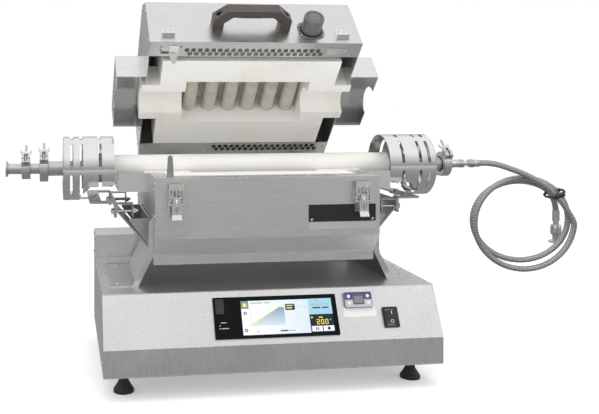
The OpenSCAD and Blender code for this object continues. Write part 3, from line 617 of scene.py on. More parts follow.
print("braid of", 2 * BRAID_WIRES, "wires,", BRAID_TURNS, "turns per metre")

# %% Sweep the braided hose
def curve_through(points, per_span=6):
    """Catmull-Rom spline: cubics through the points, their slopes from the neighbours."""
    p = np.vstack([2 * points[0] - points[1], points, 2 * points[-1] - points[-2]])
    t = np.linspace(0, 1, per_span, endpoint=False)[:, None, None]
    a, b, c, d = p[:-3], p[1:-2], p[2:-1], p[3:]
    spans = 0.5 * (2 * b + (c - a) * t + (2 * a - 5 * b + 4 * c - d) * t**2
                   + (3 * b - a - 3 * c + d) * t**3)
    return np.vstack([spans.transpose(1, 0, 2).reshape(-1, 3), points[-1:]])


def hose(line, radius, sides=20):
    """A tube whose map runs from 0 to 1 round it and in metres along it."""
    points, faces = swept(line, radius, sides)
    mesh = bpy.data.meshes.new("braided_hose")
    mesh.from_pydata((points * MM).tolist(), [], faces)
    run = np.r_[0, np.cumsum(np.linalg.norm(np.diff(line, axis=0), axis=1))] * MM
    corner = np.zeros(len(mesh.loops), dtype=np.int64)
    mesh.loops.foreach_get("vertex_index", corner)
    u, v = (corner % sides) / sides, run[corner // sides]
    side_corners = 4 * sides * (len(line) - 1)
    quads = u[:side_corners].reshape(-1, 4)
    seam = quads.max(1) - quads.min(1) > 0.5
    quads[seam] += quads[seam] < 0.5  # across the seam, 0 counts as 1
    u[:side_corners] = quads.ravel()
    mesh.uv_layers.new(name="UVMap").data.foreach_set("uv", np.stack([u, v], 1).ravel())
    mesh.shade_smooth()
    mesh.set_sharp_from_angle(angle=math.radians(50))
    obj = bpy.data.objects.new("braided_hose", mesh)
    bpy.context.scene.collection.objects.link(obj)
    mesh.materials.append(braid_material())
    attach(obj, "furnace")
    return obj


hose_line = curve_through(hose_path)
braided_hose = hose(hose_line, HOSE_D / 2)
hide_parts("gas_hose")

# %% [markdown]
# ## Screws
# Sheet steel is held by small pan-head screws. A head is a shallow dome turned on a lathe,
# and its drive is a six-sided socket. Cutting the socket out of the dome would need a boolean
# for each screw. A small six-sided inlay that stands a hair above the crown, with a dark top,
# looks the same at this size; the dark top is painted shade for the hollow of the socket. One
# function makes both from a place and a direction, so a whole row is one list.

# %% Screw heads in rows
# Painted shade for the inside of a screw's socket: near black with a faint mottle.
socket_painted_shade, tree, bsdf = shader("socket shadow", (0.05, 0.05, 0.05), 0.6, metal=0.6)
colours(tree, bsdf, noise(tree, EVEN, size=300), [(0.3, (0.03,) * 3), (0.7, (0.08,) * 3)])
THIN = 0.001  # radius at the axis of a turned shape, small enough to read as a point


def dome(r, h):
    """Profile of a pan head: upright at the rim, then a quarter ellipse up to the crown."""
    rim, rise = h * 0.25, h * 0.75
    arc = [(max(r * math.cos(t), THIN), rim + rise * math.sin(t))
           for t in np.radians(np.linspace(22.5, 90, 4))]
    return [(THIN, -0.3), (r, -0.3), (r, rim)] + arc


def screws(name, places, body, r=3.0, h=1.8):
    """Heads at (point, normal) pairs; faces near both the axis and the crown are the socket."""
    heads = [turned(dome(r, h), p, n, 14) for p, n in places]
    inlay = [(THIN, h * 0.6), (r * 0.45, h * 0.6), (r * 0.45, h + 0.05), (THIN, h + 0.05)]
    sockets = [turned(inlay, p, n, 6) for p, n in places]
    obj = piece(name, heads + sockets, body, bright_plating)
    obj.data.materials.append(socket_painted_shade)
    centres = np.empty(len(obj.data.polygons) * 3)
    obj.data.polygons.foreach_get("center", centres)
    centres = centres.reshape(-1, 3) / MM
    # The socket's faces take the painted shade, the second material.
    dark = np.zeros(len(centres), dtype=np.int32)
    for p, n in places:
        _, _, axis = frame_of(n)
        from_place = centres - np.array(p, float)
        height = from_place @ axis
        away = np.linalg.norm(from_place - height[:, None] * axis, axis=1)
        dark[(away < r * 0.44) & (height > h * 0.55) & (height < h + 0.1)] = 1
    obj.data.polygons.foreach_set("material_index", dark)
    return obj


print("a screw head has", len(dome(3.0, 1.8)), "profile points")

# %% [markdown]
# ## Screws and lid coordinates
# The lid is easiest to measure shut: x along it, s back from its front face and h up from the
# plane where it meets the body. It stands open by 45 degrees, so a point is turned by that
# angle about the hinge pin to find where the open lid holds it.

# %% From the shut lid to the open one
C45 = math.sqrt(0.5)
_, HINGE_Y, HINGE_Z = joint_at("lid_hinge")
PIN_S, PIN_H = 337, 18  # where the pin lies, in the shut lid's own s and h
LID_HALF = node_box("lid_casing")[1][0]
LID_DEEP, LID_HIGH, LID_CHAMFER = 323, 158, 42  # along s, along h, and both at the bevels
LID_OUT, LID_DOWN = (0, -C45, C45), (0, -C45, -C45)


def carry_lid(points):
    """Points (x, s, h) turned by 45 degrees about the pin at (PIN_S, PIN_H)."""
    x, s, h = np.moveaxis(np.asarray(points, float), -1, 0)
    back, up = s - PIN_S, h - PIN_H
    return np.stack([x, HINGE_Y + C45 * (back + up), HINGE_Z + C45 * (up - back)], -1)


def lid_point(x, s, h):
    """One point of the lid, as the open lid holds it."""
    return carry_lid((x, s, h))


print("the lid's front lower edge is at", lid_point(0, 0, 0).round(1).tolist())

# %% Screws in the lid
CATCH_X = 170
CAP_X, CAP_H = 110, 36
side_places = [(14, 105), (44, 148), (14, 20), (150, 148), (60, 20), (280, 148),
               (309, 105), (309, 20), (262, 20)]
side_screws = [(lid_point(side * LID_HALF, s, h), (side, 0, 0))
               for side in LEFT_RIGHT for s, h in side_places]
rim_places = [(-184, 12), (-146, 12), (-184, 20), (192, 14), (170, 16), (146, 16), (190, 30),
              (-196, 300), (-60, 318), (196, 300)]
rim_screws = [(lid_point(x, s, 0), LID_DOWN) for x, s in rim_places]
catch_screws = [(lid_point(x + dx, -1.5, 32), LID_OUT)
                for x in (-CATCH_X, CATCH_X) for dx in (-6, 6)]
cap_screws = [(lid_point(CAP_X + dx, -1.5, CAP_H + dh), LID_OUT)
              for dx in (-21, 21) for dh in (12, -14)]
screws("lid_side_screws", side_screws, "lid")
screws("lid_rim_screws", rim_screws, "lid", r=2.8, h=0.9)
screws("catch_screws", catch_screws, "lid", r=2.2, h=1.2)
screws("cap_screws", cap_screws, "lid", r=2.6)
print("lid screws:", len(side_screws) + len(rim_screws) + len(catch_screws) + len(cap_screws))

# %% [markdown]
# ## Ink on the screen and the labels
# The screen shows a lit display behind black glass, and the meter, the label and the switch
# carry printed marks. A texture image would blur up close. Here every mark is a plate thinner
# than paper, and its points store a colour, so one material shows them all. A plate whose
# corners differ shades smoothly from one to the other. The display shines a little, and
# print doesn't.

# %% Ink and paint: a colour stored on the points
def inked(name, rough):
    """A shader whose base colour is the one stored on the points under the name ink."""
    material, tree, bsdf = shader(name, (0.8, 0.8, 0.8), rough)
    stored = tree.nodes.new("ShaderNodeAttribute")
    stored.attribute_name = "ink"
    tree.links.new(stored.outputs["Color"], bsdf.inputs["Base Color"])
    return material, tree, bsdf, stored.outputs["Color"]


display_ink, tree, bsdf, stored = inked("lit ink", 0.12)
bsdf.inputs["Specular IOR Level"].default_value = 0.15
bsdf.inputs["Emission Strength"].default_value = 0.03
tree.links.new(stored, bsdf.inputs["Emission Color"])

label_paint, tree, bsdf, _ = inked("printed paint", 0.38)
relief(tree, bsdf, noise(tree, EVEN, size=700), 0.1, 0.0001)


def printed(name, items, centre, axes, body, material, thick=0.12):
    """Thin plates; each item is (outline, colour or one colour per corner, lift)."""
    shapes = [plate(outline, centre, axes, thick, lift) for outline, _, lift in items]
    obj = piece(name, shapes, body, material)
    tints = np.vstack([np.tile(np.broadcast_to(np.array(colour, float), (len(outline), 3)), (2, 1))
                       for outline, colour, _ in items])
    places = np.vstack([points for points, _ in shapes]) * MM
    found = np.empty(3 * len(obj.data.vertices), np.float32)
    obj.data.vertices.foreach_get("co", found)
    nearest = ((places - found.reshape(-1, 1, 3)) ** 2).sum(2).argmin(1)
    ink = np.c_[tints[nearest], np.ones(len(nearest))].astype(np.float32)
    layer = obj.data.color_attributes.new("ink", "FLOAT_COLOR", "POINT")
    layer.data.foreach_set("color", ink.ravel())
    return obj


print("ink ready")

# %% [markdown]
# ## Drawing on the sloped panel
# The panel leans back, so marks on it are placed by how far right they are and how far down
# the slope from its top edge. Two directions follow from the slope's two edges: up the slope,
# and out of the face.

# %% Places and outlines on the panel
SKIRT_TOP, DECK_FRONT = 88, -146  # height of the slope's lower edge, and y of its upper edge
slope = np.array([0, DECK_FRONT - BASE_FRONT, DECK_Z - SKIRT_TOP])
UPSLOPE = slope / np.linalg.norm(slope)
PANEL_OUT = np.array([0, -UPSLOPE[2], UPSLOPE[1]])
PANEL_AXES = ((1, 0, 0), UPSLOPE, PANEL_OUT)


def panel_point(x, down, out=0.0):
    """A point x to the right, down from the panel's top edge and out of its face."""
    return np.array([x, DECK_FRONT, DECK_Z]) - down * UPSLOPE + out * PANEL_OUT


def down_bar(x0, d0, x1, d1):
    """A rectangle given by how far right and how far down the slope its corners lie."""
    return bar(x0, -d1, x1, -d0)


def disc(x, d, r, n=20):
    """A round outline about (x, down): n points at even angles."""
    a = np.linspace(0, 2 * np.pi, n, endpoint=False)
    return list(zip(x + r * np.cos(a), -d + r * np.sin(a)))


def stroke(points, width):
    """A line of even width along points (x, down): two rows, half a width to each side."""
    p = np.array([(x, -d) for x, d in points], float)
    t = np.gradient(p, axis=0)
    t /= np.linalg.norm(t, axis=1, keepdims=True)
    n = np.stack([-t[:, 1], t[:, 0]], 1) * width / 2
    return np.vstack([p - n, (p + n)[::-1]]).tolist()


SEGMENTS = {"0": "abcdef", "2": "abged"}


def digit(char, x, d, w, h, t):
    """A seven-segment digit: bars t wide in a box of w by h whose top left is (x, down)."""
    bars = {"a": (0, 0, w, t), "d": (0, h - t, w, h), "g": (0, (h - t) / 2, w, (h + t) / 2),
            "f": (0, 0, t, h / 2), "e": (0, h / 2, t, h), "b": (w - t, 0, w, h / 2),
            "c": (w - t, h / 2, w, h)}
    return [down_bar(x + x0, d + d0, x + x1, d + d1)
            for x0, d0, x1, d1 in (bars[segment] for segment in SEGMENTS[char])]


print("up the slope:", UPSLOPE.round(4).tolist())

# %% [markdown]
# ## The screen
# The display shows a firing programme: a yellow ramp over a shaded slope, a column of icons,
# a status box, a reading and two buttons. Small words are bars of grey, which is how they
# read from a step away. Marks that overlap lie in layers 0.14 mm apart, so that no two of
# them fight for the same place.

# %% Colours and the icon column
WHITE, PALE, GREY = (0.86, 0.88, 0.89), (0.64, 0.74, 0.80), (0.35, 0.42, 0.5)
BLUE, NAVY, INKY = (0.36, 0.60, 0.72), (0.012, 0.025, 0.06), (0.03, 0.04, 0.05)
YELLOW, AMBER = (0.92, 0.80, 0.05), (0.55, 0.45, 0.05)
SLATE, DULL = (0.20, 0.28, 0.36), (0.5, 0.5, 0.5)
SHADE_TOP, SHADE_LOW = (0.20, 0.32, 0.46), (0.60, 0.70, 0.76)

icons = [  # each mark is an outline, its colour and its layer
    (down_bar(-60, 19.6, -46.4, 77.5), WHITE, 0),
    (down_bar(-46.4, 19.6, 60.5, 77.5), PALE, 0),
    (down_bar(-60, 19.6, -46.4, 33), SLATE, 1),
    (disc(-53.4, 26.6, 3.5), YELLOW, 2),
    (down_bar(-56, 38.5, -51, 43), INKY, 1),
    (down_bar(-54.5, 39.7, -52.5, 41.8), WHITE, 2),
    (disc(-54, 69.5, 2.9), INKY, 1),
    (disc(-54, 69.5, 1.3), WHITE, 2),
]
print("icon column:", len(icons), "marks")

# %% The firing curve
slope_outline = [(-43, -60), (-43, -62), (16.5, -62), (16.5, -31.8), (7, -31.8)]
slope_shades = [SHADE_LOW, SHADE_LOW, SHADE_LOW, SHADE_TOP, SHADE_TOP]
chart = [
    (down_bar(-43.5, 22.6, -21, 24.4), GREY, 1),
    (down_bar(-18.5, 22.6, -8, 24.4), GREY, 1),
    (slope_outline, slope_shades, 1),
    (stroke([(-43, 60), (7, 31.6), (16.5, 31.6)], 1.4), YELLOW, 2),
    (disc(-43, 60, 1.2), YELLOW, 3),
    (down_bar(-43.4, 29, -42.9, 63), GREY, 1),
    (down_bar(19, 27, 36, 37.5), INKY, 1),
    (down_bar(21, 29, 33, 30.6), PALE, 2),
    (down_bar(21, 33, 31, 34.8), YELLOW, 2),
    (down_bar(-36, 71.5, -31.5, 73), GREY, 1),
    (down_bar(6, 71.2, 20, 73.2), INKY, 1),
    (down_bar(22.5, 71.5, 33, 73), GREY, 1),
]
print("firing curve:", len(chart), "marks")

# %% Status box, reading and buttons
status = [
    (down_bar(60.5, 19.2, 103, 46.5), BLUE, 0),
    (disc(75, 23, 1.8), AMBER, 1),
    (down_bar(66, 28.5, 80, 30.2), GREY, 1),
    (down_bar(83, 28.5, 97, 30.2), GREY, 1),
    (down_bar(68, 34.0, 82, 36.2), INKY, 1),
    (down_bar(85, 34.0, 97, 36.2), INKY, 1),
    (disc(63.5, 33, 1.2), YELLOW, 1),
]
reading = [
    (down_bar(60.7, 47.5, 103, 77.6), NAVY, 0),
    (down_bar(63, 50.5, 66, 53), YELLOW, 1),
    (down_bar(77, 51, 84, 52.6), YELLOW, 1),
    (disc(97.5, 56.3, 1.0), YELLOW, 1),
]
buttons = [
    (down_bar(62.5, 66.5, 81.7, 75.6), WHITE, 1),
    (down_bar(83.3, 66.5, 102.5, 75.6), WHITE, 1),
    (down_bar(69.7, 68.6, 71.3, 73.5), INKY, 2),
    (down_bar(73.0, 68.6, 74.6, 73.5), INKY, 2),
    (down_bar(90.6, 68.7, 95.4, 73.4), INKY, 2),
]
margin_lamps = [
    (down_bar(-98, 54.6, -88, 55.8), DULL, 0),
    (disc(-99.5, 60, 0.9), YELLOW, 0),
    (disc(-99.5, 65, 0.9), YELLOW, 0),
    (down_bar(-97, 64.4, -84, 65.6), DULL, 0),
]
dashes = [(down_bar(x, 32.3, x + 1.6, 32.7), GREY, 1) for x in np.arange(38, 59, 3.2)]
digits = [(outline, YELLOW, 1) for place, char in enumerate("200")
          for outline in digit(char, 72.5 + 7.6 * place, 55.2, 5.6, 8.6, 1.3)]

GLASS_OUT, INK_GAP, INK_STEP = 3, 0.02, 0.14
marks = icons + chart + status + reading + buttons + margin_lamps + dashes + digits
screen = [(outline, colour, GLASS_OUT + INK_GAP + INK_STEP * layer)
          for outline, colour, layer in marks]
printed("screen_picture", screen, panel_point(0, 0), PANEL_AXES, "furnace",
        display_ink)
print("screen:", len(screen), "marks")

# %% [markdown]
# ## Meter, label and switch marks
# Beside the screen sit a small meter with a grey display, a label plate, which is left bare,
# and the mains switch with a bar for on and a ring for off. The marks ride on what carries
# them: the two on the switch tip with the rocker, so they lie in the rocker's own plane.

# %% Meter face and bare label
METER_X, METER_DOWN, METER_OUT = 153, 24, 5
meter = [
    (rounded(48.6, 11.5, 1.2, y=7.0), (0.075, 0.06, 0.17), METER_OUT + 0.02),
    (rounded(49.4, 12.6, 1.2, y=-6.6), (0.50, 0.50, 0.55), METER_OUT + 0.02),
    (rounded(18.4, 15.2, 0.8), (0.06, 0.065, 0.07), METER_OUT + 0.82),
    (rounded(16.2, 12.6, 0.6), (0.20, 0.215, 0.21), METER_OUT + 0.96),
]
printed("meter_face", meter, panel_point(METER_X, METER_DOWN), PANEL_AXES, "furnace",
        label_paint)
label = [(rounded(59, 17, 0.8), (0.78, 0.78, 0.77), 0.02)]
printed("blank_label", label, panel_point(METER_X + 1, 44.4), PANEL_AXES, "furnace",
        label_paint, thick=0.3)
print("meter and label printed")

# %% On and off marks
ROCKER_TILT = math.radians(12)
rocker_centre = panel_point(209, 56, 4.6)
rocker_up = math.cos(ROCKER_TILT) * UPSLOPE + math.sin(ROCKER_TILT) * PANEL_OUT
rocker_out = math.cos(ROCKER_TILT) * PANEL_OUT - math.sin(ROCKER_TILT) * UPSLOPE
on_bar = [(bar(-0.6, 5.0, 0.6, 10.4), (0.8, 0.8, 0.8), 1.95)]
printed("switch_on_mark", on_bar, rocker_centre, ((1, 0, 0), rocker_up, rocker_out),
        "power_rocker", label_paint, thick=0.35)

OFF_R, OFF_DOWN, OFF_OUT, OFF_WIRE = 2.5, 7.4, 2.1, 0.45
angles = np.linspace(0, 2 * np.pi, 24, endpoint=False)[:, None]
off_ring = (rocker_centre + OFF_R * np.cos(angles) * np.array([1.0, 0, 0])
            + (OFF_R * np.sin(angles) - OFF_DOWN) * rocker_up + OFF_OUT * rocker_out)
piece("switch_off_mark", [swept(off_ring, OFF_WIRE, 6, close=True)], "power_rocker",
      button_white)
print("switch marked")

# %% [markdown]
# ## The nameplate
# A black plate with two screws is fixed to the front of the body, and a pale strip lies
# below it. Both are left bare. They are thin enough to be made as the printed marks are.

# %% The bare nameplate on the body
FRONT_AXES = ((1, 0, 0), (0, 0, 1), (0, -1, 0))
PLATE_X, PLATE_Z, PLATE_WIDE, PLATE_THICK = 135, 302.5, 126, 0.6
nameplate = [
    (rounded(PLATE_WIDE, 31, 1.0, x=PLATE_X, y=PLATE_Z), (0.012, 0.011, 0.012), 0.02),
    (rounded(PLATE_WIDE, 13, 1.0, x=PLATE_X, y=PLATE_Z - 22.7), (0.36, 0.36, 0.36), 0.02),
]
printed("nameplate", nameplate, (0, BODY_FRONT, 0), FRONT_AXES, "furnace",
        label_paint, PLATE_THICK)
plate_screws = [((PLATE_X + side * 57, BODY_FRONT - PLATE_THICK, PLATE_Z - 12), (0, -1, 0))
                for side in LEFT_RIGHT]
screws("nameplate_screws", plate_screws, "furnace", r=2.6, h=1.3)
print("nameplate fixed with", len(plate_screws), "screws")

# %% [markdown]
# ## Screws of the body and base
# The same heads hold the legs to the base, the brackets to the legs, the ends of the body's
# casing and the back panels. Each row is on both sides, so it is written once and mirrored.

# %% Screws on the legs and the body
LEG_WALL, LEG_FOOT = BODY_HALF + 2.2, DECK_Z + 2  # outer faces of a leg's wall and of its foot
foot_places = [(268, -74), (258, 62)]
wall_places = [(-88, 284), (-88, 250), (-70, 240), (-80, 268), (75, 284), (75, 250)]
end_places = [(-118, 358), (-110, 345), (-118, 300), (185, 358), (185, 300)]
UP = (0, 0, 1)


def both_ends(x, places):
    """A screw at (x, y, z) facing right for each place (y, z), and its mirror image."""
    return [((side * x, y, z), (side, 0, 0)) for side in LEFT_RIGHT for y, z in places]


leg_screws = [((side * x, y, LEG_FOOT), UP) for side in LEFT_RIGHT for x, y in foot_places]
base_screws = [((side * 288, y, DECK_Z), UP) for side in LEFT_RIGHT for y in (-74, 3)]
upright_screws = both_ends(LEG_WALL, wall_places) + both_ends(BODY_HALF, end_places)
screws("lower_screws", leg_screws + base_screws + upright_screws, "furnace")
print("legs, deck and body:", len(leg_screws) + len(base_screws) + len(upright_screws))

# %% Screws on the back and the sides of the base
box_places = [(110, 222), (180, 222), (110, 184), (180, 184), (-150, 55), (150, 55)]
box_screws = both_ends(BASE_HALF, box_places)
back_screws = [((x, BASE_BACK, z), (0, 1, 0))
               for x in (-290, -100, 100, 290) for z in (222, 180, 50)]
screws("panel_screws", box_screws + back_screws, "furnace", r=2.8)
print("panels:", len(box_screws) + len(back_screws))

# %% [markdown]
# ## Latch parts
# A toggle latch is pressed from thin plate. Rivets hold its pins, a stem between two springs
# pulls the loop down, and the lever has raised ribs that stiffen it. The plates are in the
# frame; these small round parts are tubes along short paths, and the springs are helices.
# Each rides on the lever or the loop, so it goes with that part when the latch opens.

# %% Springs, ribs and rivets
def helix(centre, r, pitch, turns, wire, sides=6):
    """A spring along Z: the point turns round centre as it climbs one pitch a turn."""
    a = np.linspace(0, 2 * np.pi * turns, int(turns * 14))
    line = np.stack([r * np.cos(a), r * np.sin(a), pitch * a / (2 * np.pi)], 1)
    return swept(line + np.array(centre, float), wire, sides)


def run_from(pin, steps):
    """One point, or the points of a path, given as steps (x, y, z) away from a pin."""
    return np.array(pin, float) + np.array(steps, float)


def lever_trim(pin):
    """Two rivets at the lever's pin, a rib down its middle and a finer one on each side."""
    head = [(THIN, 0), (3.2, 0), (3.0, 0.9), (1.8, 1.5), (THIN, 1.6)]
    rivets = [turned(head, run_from(pin, (side * 10, 0, 0)), (side, 0, 0), 14)
              for side in LEFT_RIGHT]
    rib = swept(run_from(pin, [(0, -6.6, -2), (0, -7.3, -5), (0, -7.3, -19), (0, -6.8, -25)]),
                [1.4, 2.3, 2.3, 1.2], 10)
    cheeks = [swept(run_from(pin, [(dx, -7.0, 1), (dx, -7.4, -7), (dx, -7.0, -23)]),
                    [0.7, 1.0, 0.7], 8) for dx in (-4.6, 4.6)]
    return rivets + [rib] + cheeks


def loop_trim(pin, loop_pin):
    """A stem and two springs above the lever's pin, and a knob at each end of the loop's."""
    stem = swept(run_from(pin, [(0, -4.5, 3), (0, -4.5, 22)]), 1.5, 10)
    springs = [helix(run_from(pin, (dx, -4.6, 3.5)), 2.2, 1.5, 9, 0.45) for dx in (-6.5, 6.5)]
    head = [(THIN, 0), (3.0, 0), (3.0, 1.0), (THIN, 1.3)]
    knobs = [turned(head, run_from(loop_pin, (side * 13.1, 0, 0)), (side, 0, 0), 14)
             for side in LEFT_RIGHT]
    return [stem] + springs + knobs


for side in ("left", "right"):
    lever_pin, loop_pin = joint_at(f"latch_lever_{side}"), joint_at(f"latch_loop_{side}")
    piece(f"latch_{side}_lever_trim", lever_trim(lever_pin), f"latch_lever_{side}",
          bright_plating)
    piece(f"latch_{side}_loop_trim", loop_trim(lever_pin, loop_pin), f"latch_loop_{side}",
          bright_plating)
print("latches trimmed")

# %% [markdown]
# ## Cap and handle
# The round cap on the lid covers the hole for a sensor. It has a groove round its top, made
# black, darker than the cap, as painted shade in the groove, and a gasket under its flange's
# edge. Each is a ring turned about the cap's axis. A screw sits deep in each bevel of the handle.

# %% Cap rings and handle screws
cap_top = lid_point(CAP_X, 0, CAP_H)
disc_profile = [(THIN, 33.9), (12.9, 33.9), (12.9, 34.8), (THIN, 34.8)]
cap_disc = turned(disc_profile, cap_top, LID_OUT, 32)
cap_rim = ring_at(14.6, 18.4, 34.4, 35.5, cap_top, LID_OUT)
cap_groove = ring_at(12.9, 14.6, 33.9, 34.3, cap_top, LID_OUT)
cap_gasket = ring_at(19.6, 21.6, 1.5, 4.0, cap_top, LID_OUT)
piece("cap_lip", [cap_rim, cap_disc], "lid", cap_plastic)
# The groove's ring is black plastic, darker than the cap: painted shade in the groove.
piece("cap_groove", [cap_groove], "lid", black_plastic)
piece("cap_gasket", [cap_gasket], "lid", rubber_black)
screws("handle_screws", [(lid_point(x, -8, 46), LID_OUT) for x in (-73.5, 57.5)], "lid",
       r=4.0, h=1.6)
print("cap and handle fitted")

# %% [markdown]
# ## Nuts
# A six-sided nut with bevelled edges is a turned profile with six sides. Two join the hose to
# its fitting, with a plain collar behind them. One locks each screw foot, and it turns with
# the foot, so it rides on the foot's body.

# %% Nuts on the hose fitting and the feet
fitting_profile = [(5.0, 0), (8.6, 0), (9.2, 0.8), (9.2, 8.2), (8.6, 9), (5.0, 9)]
nuts = [turned(fitting_profile, (x, TUBE_Y, TUBE_Z), (1, 0, 0), 6) for x in (440, 464)]
collar = turned([(6.1, 0), (7.4, 0), (7.4, 16), (6.1, 16)], (469, TUBE_Y, TUBE_Z), (1, 0, 0), 28)
piece("fitting_nuts", nuts + [collar], "furnace", dull_plating, 25)

foot_profile = [(5.1, 0), (8.2, 0), (8.8, 0.7), (8.8, 5.6), (8.2, 6.3), (5.1, 6.3)]
NUT_Z, NECK_LOW, NECK_HIGH = 26.85, 33.5, 40.6
for foot in FEET:
    x, y, _ = joint_at(foot)
    nut = turned(foot_profile, (x, y, NUT_Z), UP, 6)
    neck = ring_at(5.05, 5.9, NECK_LOW, NECK_HIGH, (x, y, 0), UP, 24)
    piece(f"{foot}_nut", [nut, neck], foot, bright_plating, 25)
print("nuts fitted")

# %% [markdown]
# ## Folded edges
# A folded sheet has a small radius at its bend, and that radius catches the light as a thin
# bright line. A bevel on the solids would change their meshes, which have to stay as they
# are. So a fine wire, sunk to more than half its thickness, follows each bend. The lid's
# lines are given in its own shut coordinates and are carried up with it.

# %% Wires along the folds
# The wires' steel is lighter than the sheets beside them, so each bright line is partly the light
# on the radius and partly painted highlight.
fold_highlight_steel = plated("folded edge", 0.86, 0.2)
SUNK = 0.4  # how far inside the faces a wire's centre runs


def folds(name, runs, body="furnace", r=0.6):
    """A wire of radius r along each run of corner points, one straight stretch at a time."""
    shapes = [swept([a, b], r, 6) for run in runs for a, b in zip(run[:-1], run[1:])]
    return piece(name, shapes, body, fold_highlight_steel)


SKIRT_FOOT, DECK_END = 42, 110  # height of the skirt's lower edge, and y where the deck ends
edge_x, front_y, deck_z = BASE_HALF - SUNK, BASE_FRONT + SUNK, DECK_Z - SUNK
skirt_low, slope_low = (front_y, SKIRT_FOOT), (front_y, SKIRT_TOP)
slope_high, deck_end = (DECK_FRONT, deck_z), (DECK_END, deck_z)
base_runs = [[(-edge_x, *corner), (edge_x, *corner)]
             for corner in (slope_low, slope_high, skirt_low)]
base_runs += [[(side * edge_x, *corner) for corner in (skirt_low, slope_low, slope_high, deck_end)]
              for side in LEFT_RIGHT]
folds("base_folds", base_runs, r=0.7)

KNEE_Z = 262  # the front and the back lean inwards below this height
HEEL_Y, HEEL_Z = -97.6, 226  # where the leaning front turns upright again
edge_x, front_y, back_y = BODY_HALF - SUNK, BODY_FRONT + SUNK, BODY_BACK - SUNK
rim_z, top_z = BODY_TOP - 0.1, BODY_TOP + 0.5
heel, floor_edge = (HEEL_Y, HEEL_Z), (HEEL_Y, BODY_FLOOR + SUNK)
front_run = [(front_y, top_z), (front_y, KNEE_Z), heel, floor_edge]
back_run = [(back_y, top_z), (back_y, KNEE_Z)]
body_runs = [[(side * edge_x, *corner) for corner in run]
             for side in LEFT_RIGHT for run in (front_run, back_run)]
body_runs += [[(-edge_x, *corner), (edge_x, *corner)]
              for corner in ((front_y, rim_z), (front_y, KNEE_Z), heel, floor_edge,
                             (back_y, rim_z), (back_y, KNEE_Z))]
folds("body_folds", body_runs)
print("folds of base and body:", len(base_runs) + len(body_runs), "runs")

# %% Wires along the lid's folds
edge_x, low_h, top_h, back_s = LID_HALF - SUNK, 0.6, LID_HIGH - SUNK, LID_DEEP - SUNK
bevel_h = LID_HIGH - LID_CHAMFER
lid_corners = [(SUNK, low_h), (SUNK, bevel_h), (LID_CHAMFER, top_h),
               (LID_DEEP - LID_CHAMFER, top_h), (back_s, bevel_h), (back_s, low_h)]
lid_runs = [[lid_point(side * edge_x, s, h) for s, h in lid_corners] for side in LEFT_RIGHT]
lid_runs += [carry_lid([(-edge_x, s, h), (edge_x, s, h)]) for s, h in lid_corners]
folds("lid_folds", lid_runs, body="lid")
print("folds of lid:", len(lid_runs), "runs")

# %% [markdown]
# ## The tie
# A black strap with a small lock holds the turns of the hose together. It is a rounded loop
# with four edges, swept round all the turns where they pass at the right of the coil, and
# tilted so that it lies square across them.

# %% Tie the hose
TIE_TURN = math.radians(42)
tie_across = np.array([math.cos(TIE_TURN), 0, math.sin(TIE_TURN)])
tie_through = np.array([-math.sin(TIE_TURN), 0, math.cos(TIE_TURN)])
tie_centre = np.array([664.2, 48.5, 305.8])
DEPTH = np.array([0.0, 1, 0])
STRAP_HALF = 2.8
INNER, OUTER = (23.1, 48.1, 6.9), (27.8, 52.8, 8.4)  # width, height and corner radius


def strap_edge(size, z):
    """A rounded outline round the turns, z along the strap's width from its middle."""
    flat = np.array(rounded(*size))
    return tie_centre + flat[:, :1] * tie_across + flat[:, 1:] * DEPTH + z * tie_through


edges = [strap_edge(INNER, -STRAP_HALF), strap_edge(OUTER, -STRAP_HALF),
         strap_edge(OUTER, STRAP_HALF), strap_edge(INNER, STRAP_HALF)]
lock = plate(rounded(9, 8, 1.5, y=-28), tie_centre - 3.6 * tie_through,
             (tie_across, DEPTH, tie_through), 7.2)
piece("hose_tie", [grid(np.stack(edges), close_u=True), lock], "furnace",
      black_plastic)
print("hose tied at", tie_centre.tolist())

# %% [markdown]
# ## Wires between the rods
# Thin bent wires hold each rod against the roof of the chamber. One goes down between two
# rods and up again, so it is a sine arch with a sideways sway, in the lid's shut coordinates.

# %% Rod hooks in the lid
rod_wire, tree, bsdf = shader("rod wire", (0.62, 0.58, 0.5), 0.6)
colours(tree, bsdf, noise(tree, EVEN, size=200),
        [(0.3, (0.5, 0.46, 0.38)), (0.7, (0.72, 0.69, 0.62))])
ROD_PITCH, ROD_GAPS = 41.667, 5
HOOK_SWAY, HOOK_LONG, ROOF_H, HOOK_DROP = 7, 14, 75.5, 26


def hook_path(x, s):
    """A sine arch of HOOK_DROP below the roof, swaying by one sine wave that grows along it."""
    u = np.linspace(0, 1, 12)
    sway = HOOK_SWAY * np.sin(u * np.pi * 2) * u
    drop = HOOK_DROP * np.sin(u * np.pi) ** 0.7
    return carry_lid(np.stack([x + sway, s + HOOK_LONG * u - HOOK_LONG / 2, ROOF_H - drop], 1))


hook_wires = [swept(hook_path((gap - ROD_GAPS // 2) * ROD_PITCH, s), 0.9, 6)
              for gap in range(ROD_GAPS) for s in (128, 186)]
piece("rod_hooks", hook_wires, "lid", rod_wire)
print("rod hooks:", len(hook_wires))

# %% [markdown]
# ## Floor and card
# The furnace stands on a plain white floor that runs far past the view. The floor glows a
# little, for the camera alone, so that it stays white round the shadow. Steel shows what
# surrounds it, and in an all-white room it turns white and loses its shape. So a large grey
# card lies just above the floor. Only reflections see it, and it grows lighter towards the
# front, which gives the upright sheets a middle grey that fades as they lean.

# %% Lay the floor and the card
scene = bpy.context.scene
scene.view_settings.view_transform = "Standard"
FLOOR_HALF, CARD_Z = 12, 0.0015  # metres, as is all of the studio
FLOOR_GLOW = 0.24


def flat_sheet(name, outline, z, material):
    """A stage sheet: one face with the given outline at height z, in metres."""
    mesh = bpy.data.meshes.new(name)
    mesh.from_pydata([(x, y, z) for x, y in outline], [], [list(range(len(outline)))])
    mesh.materials.append(material)
    obj = bpy.data.objects.new(name, mesh)
    scene.collection.objects.link(obj)
    return obj


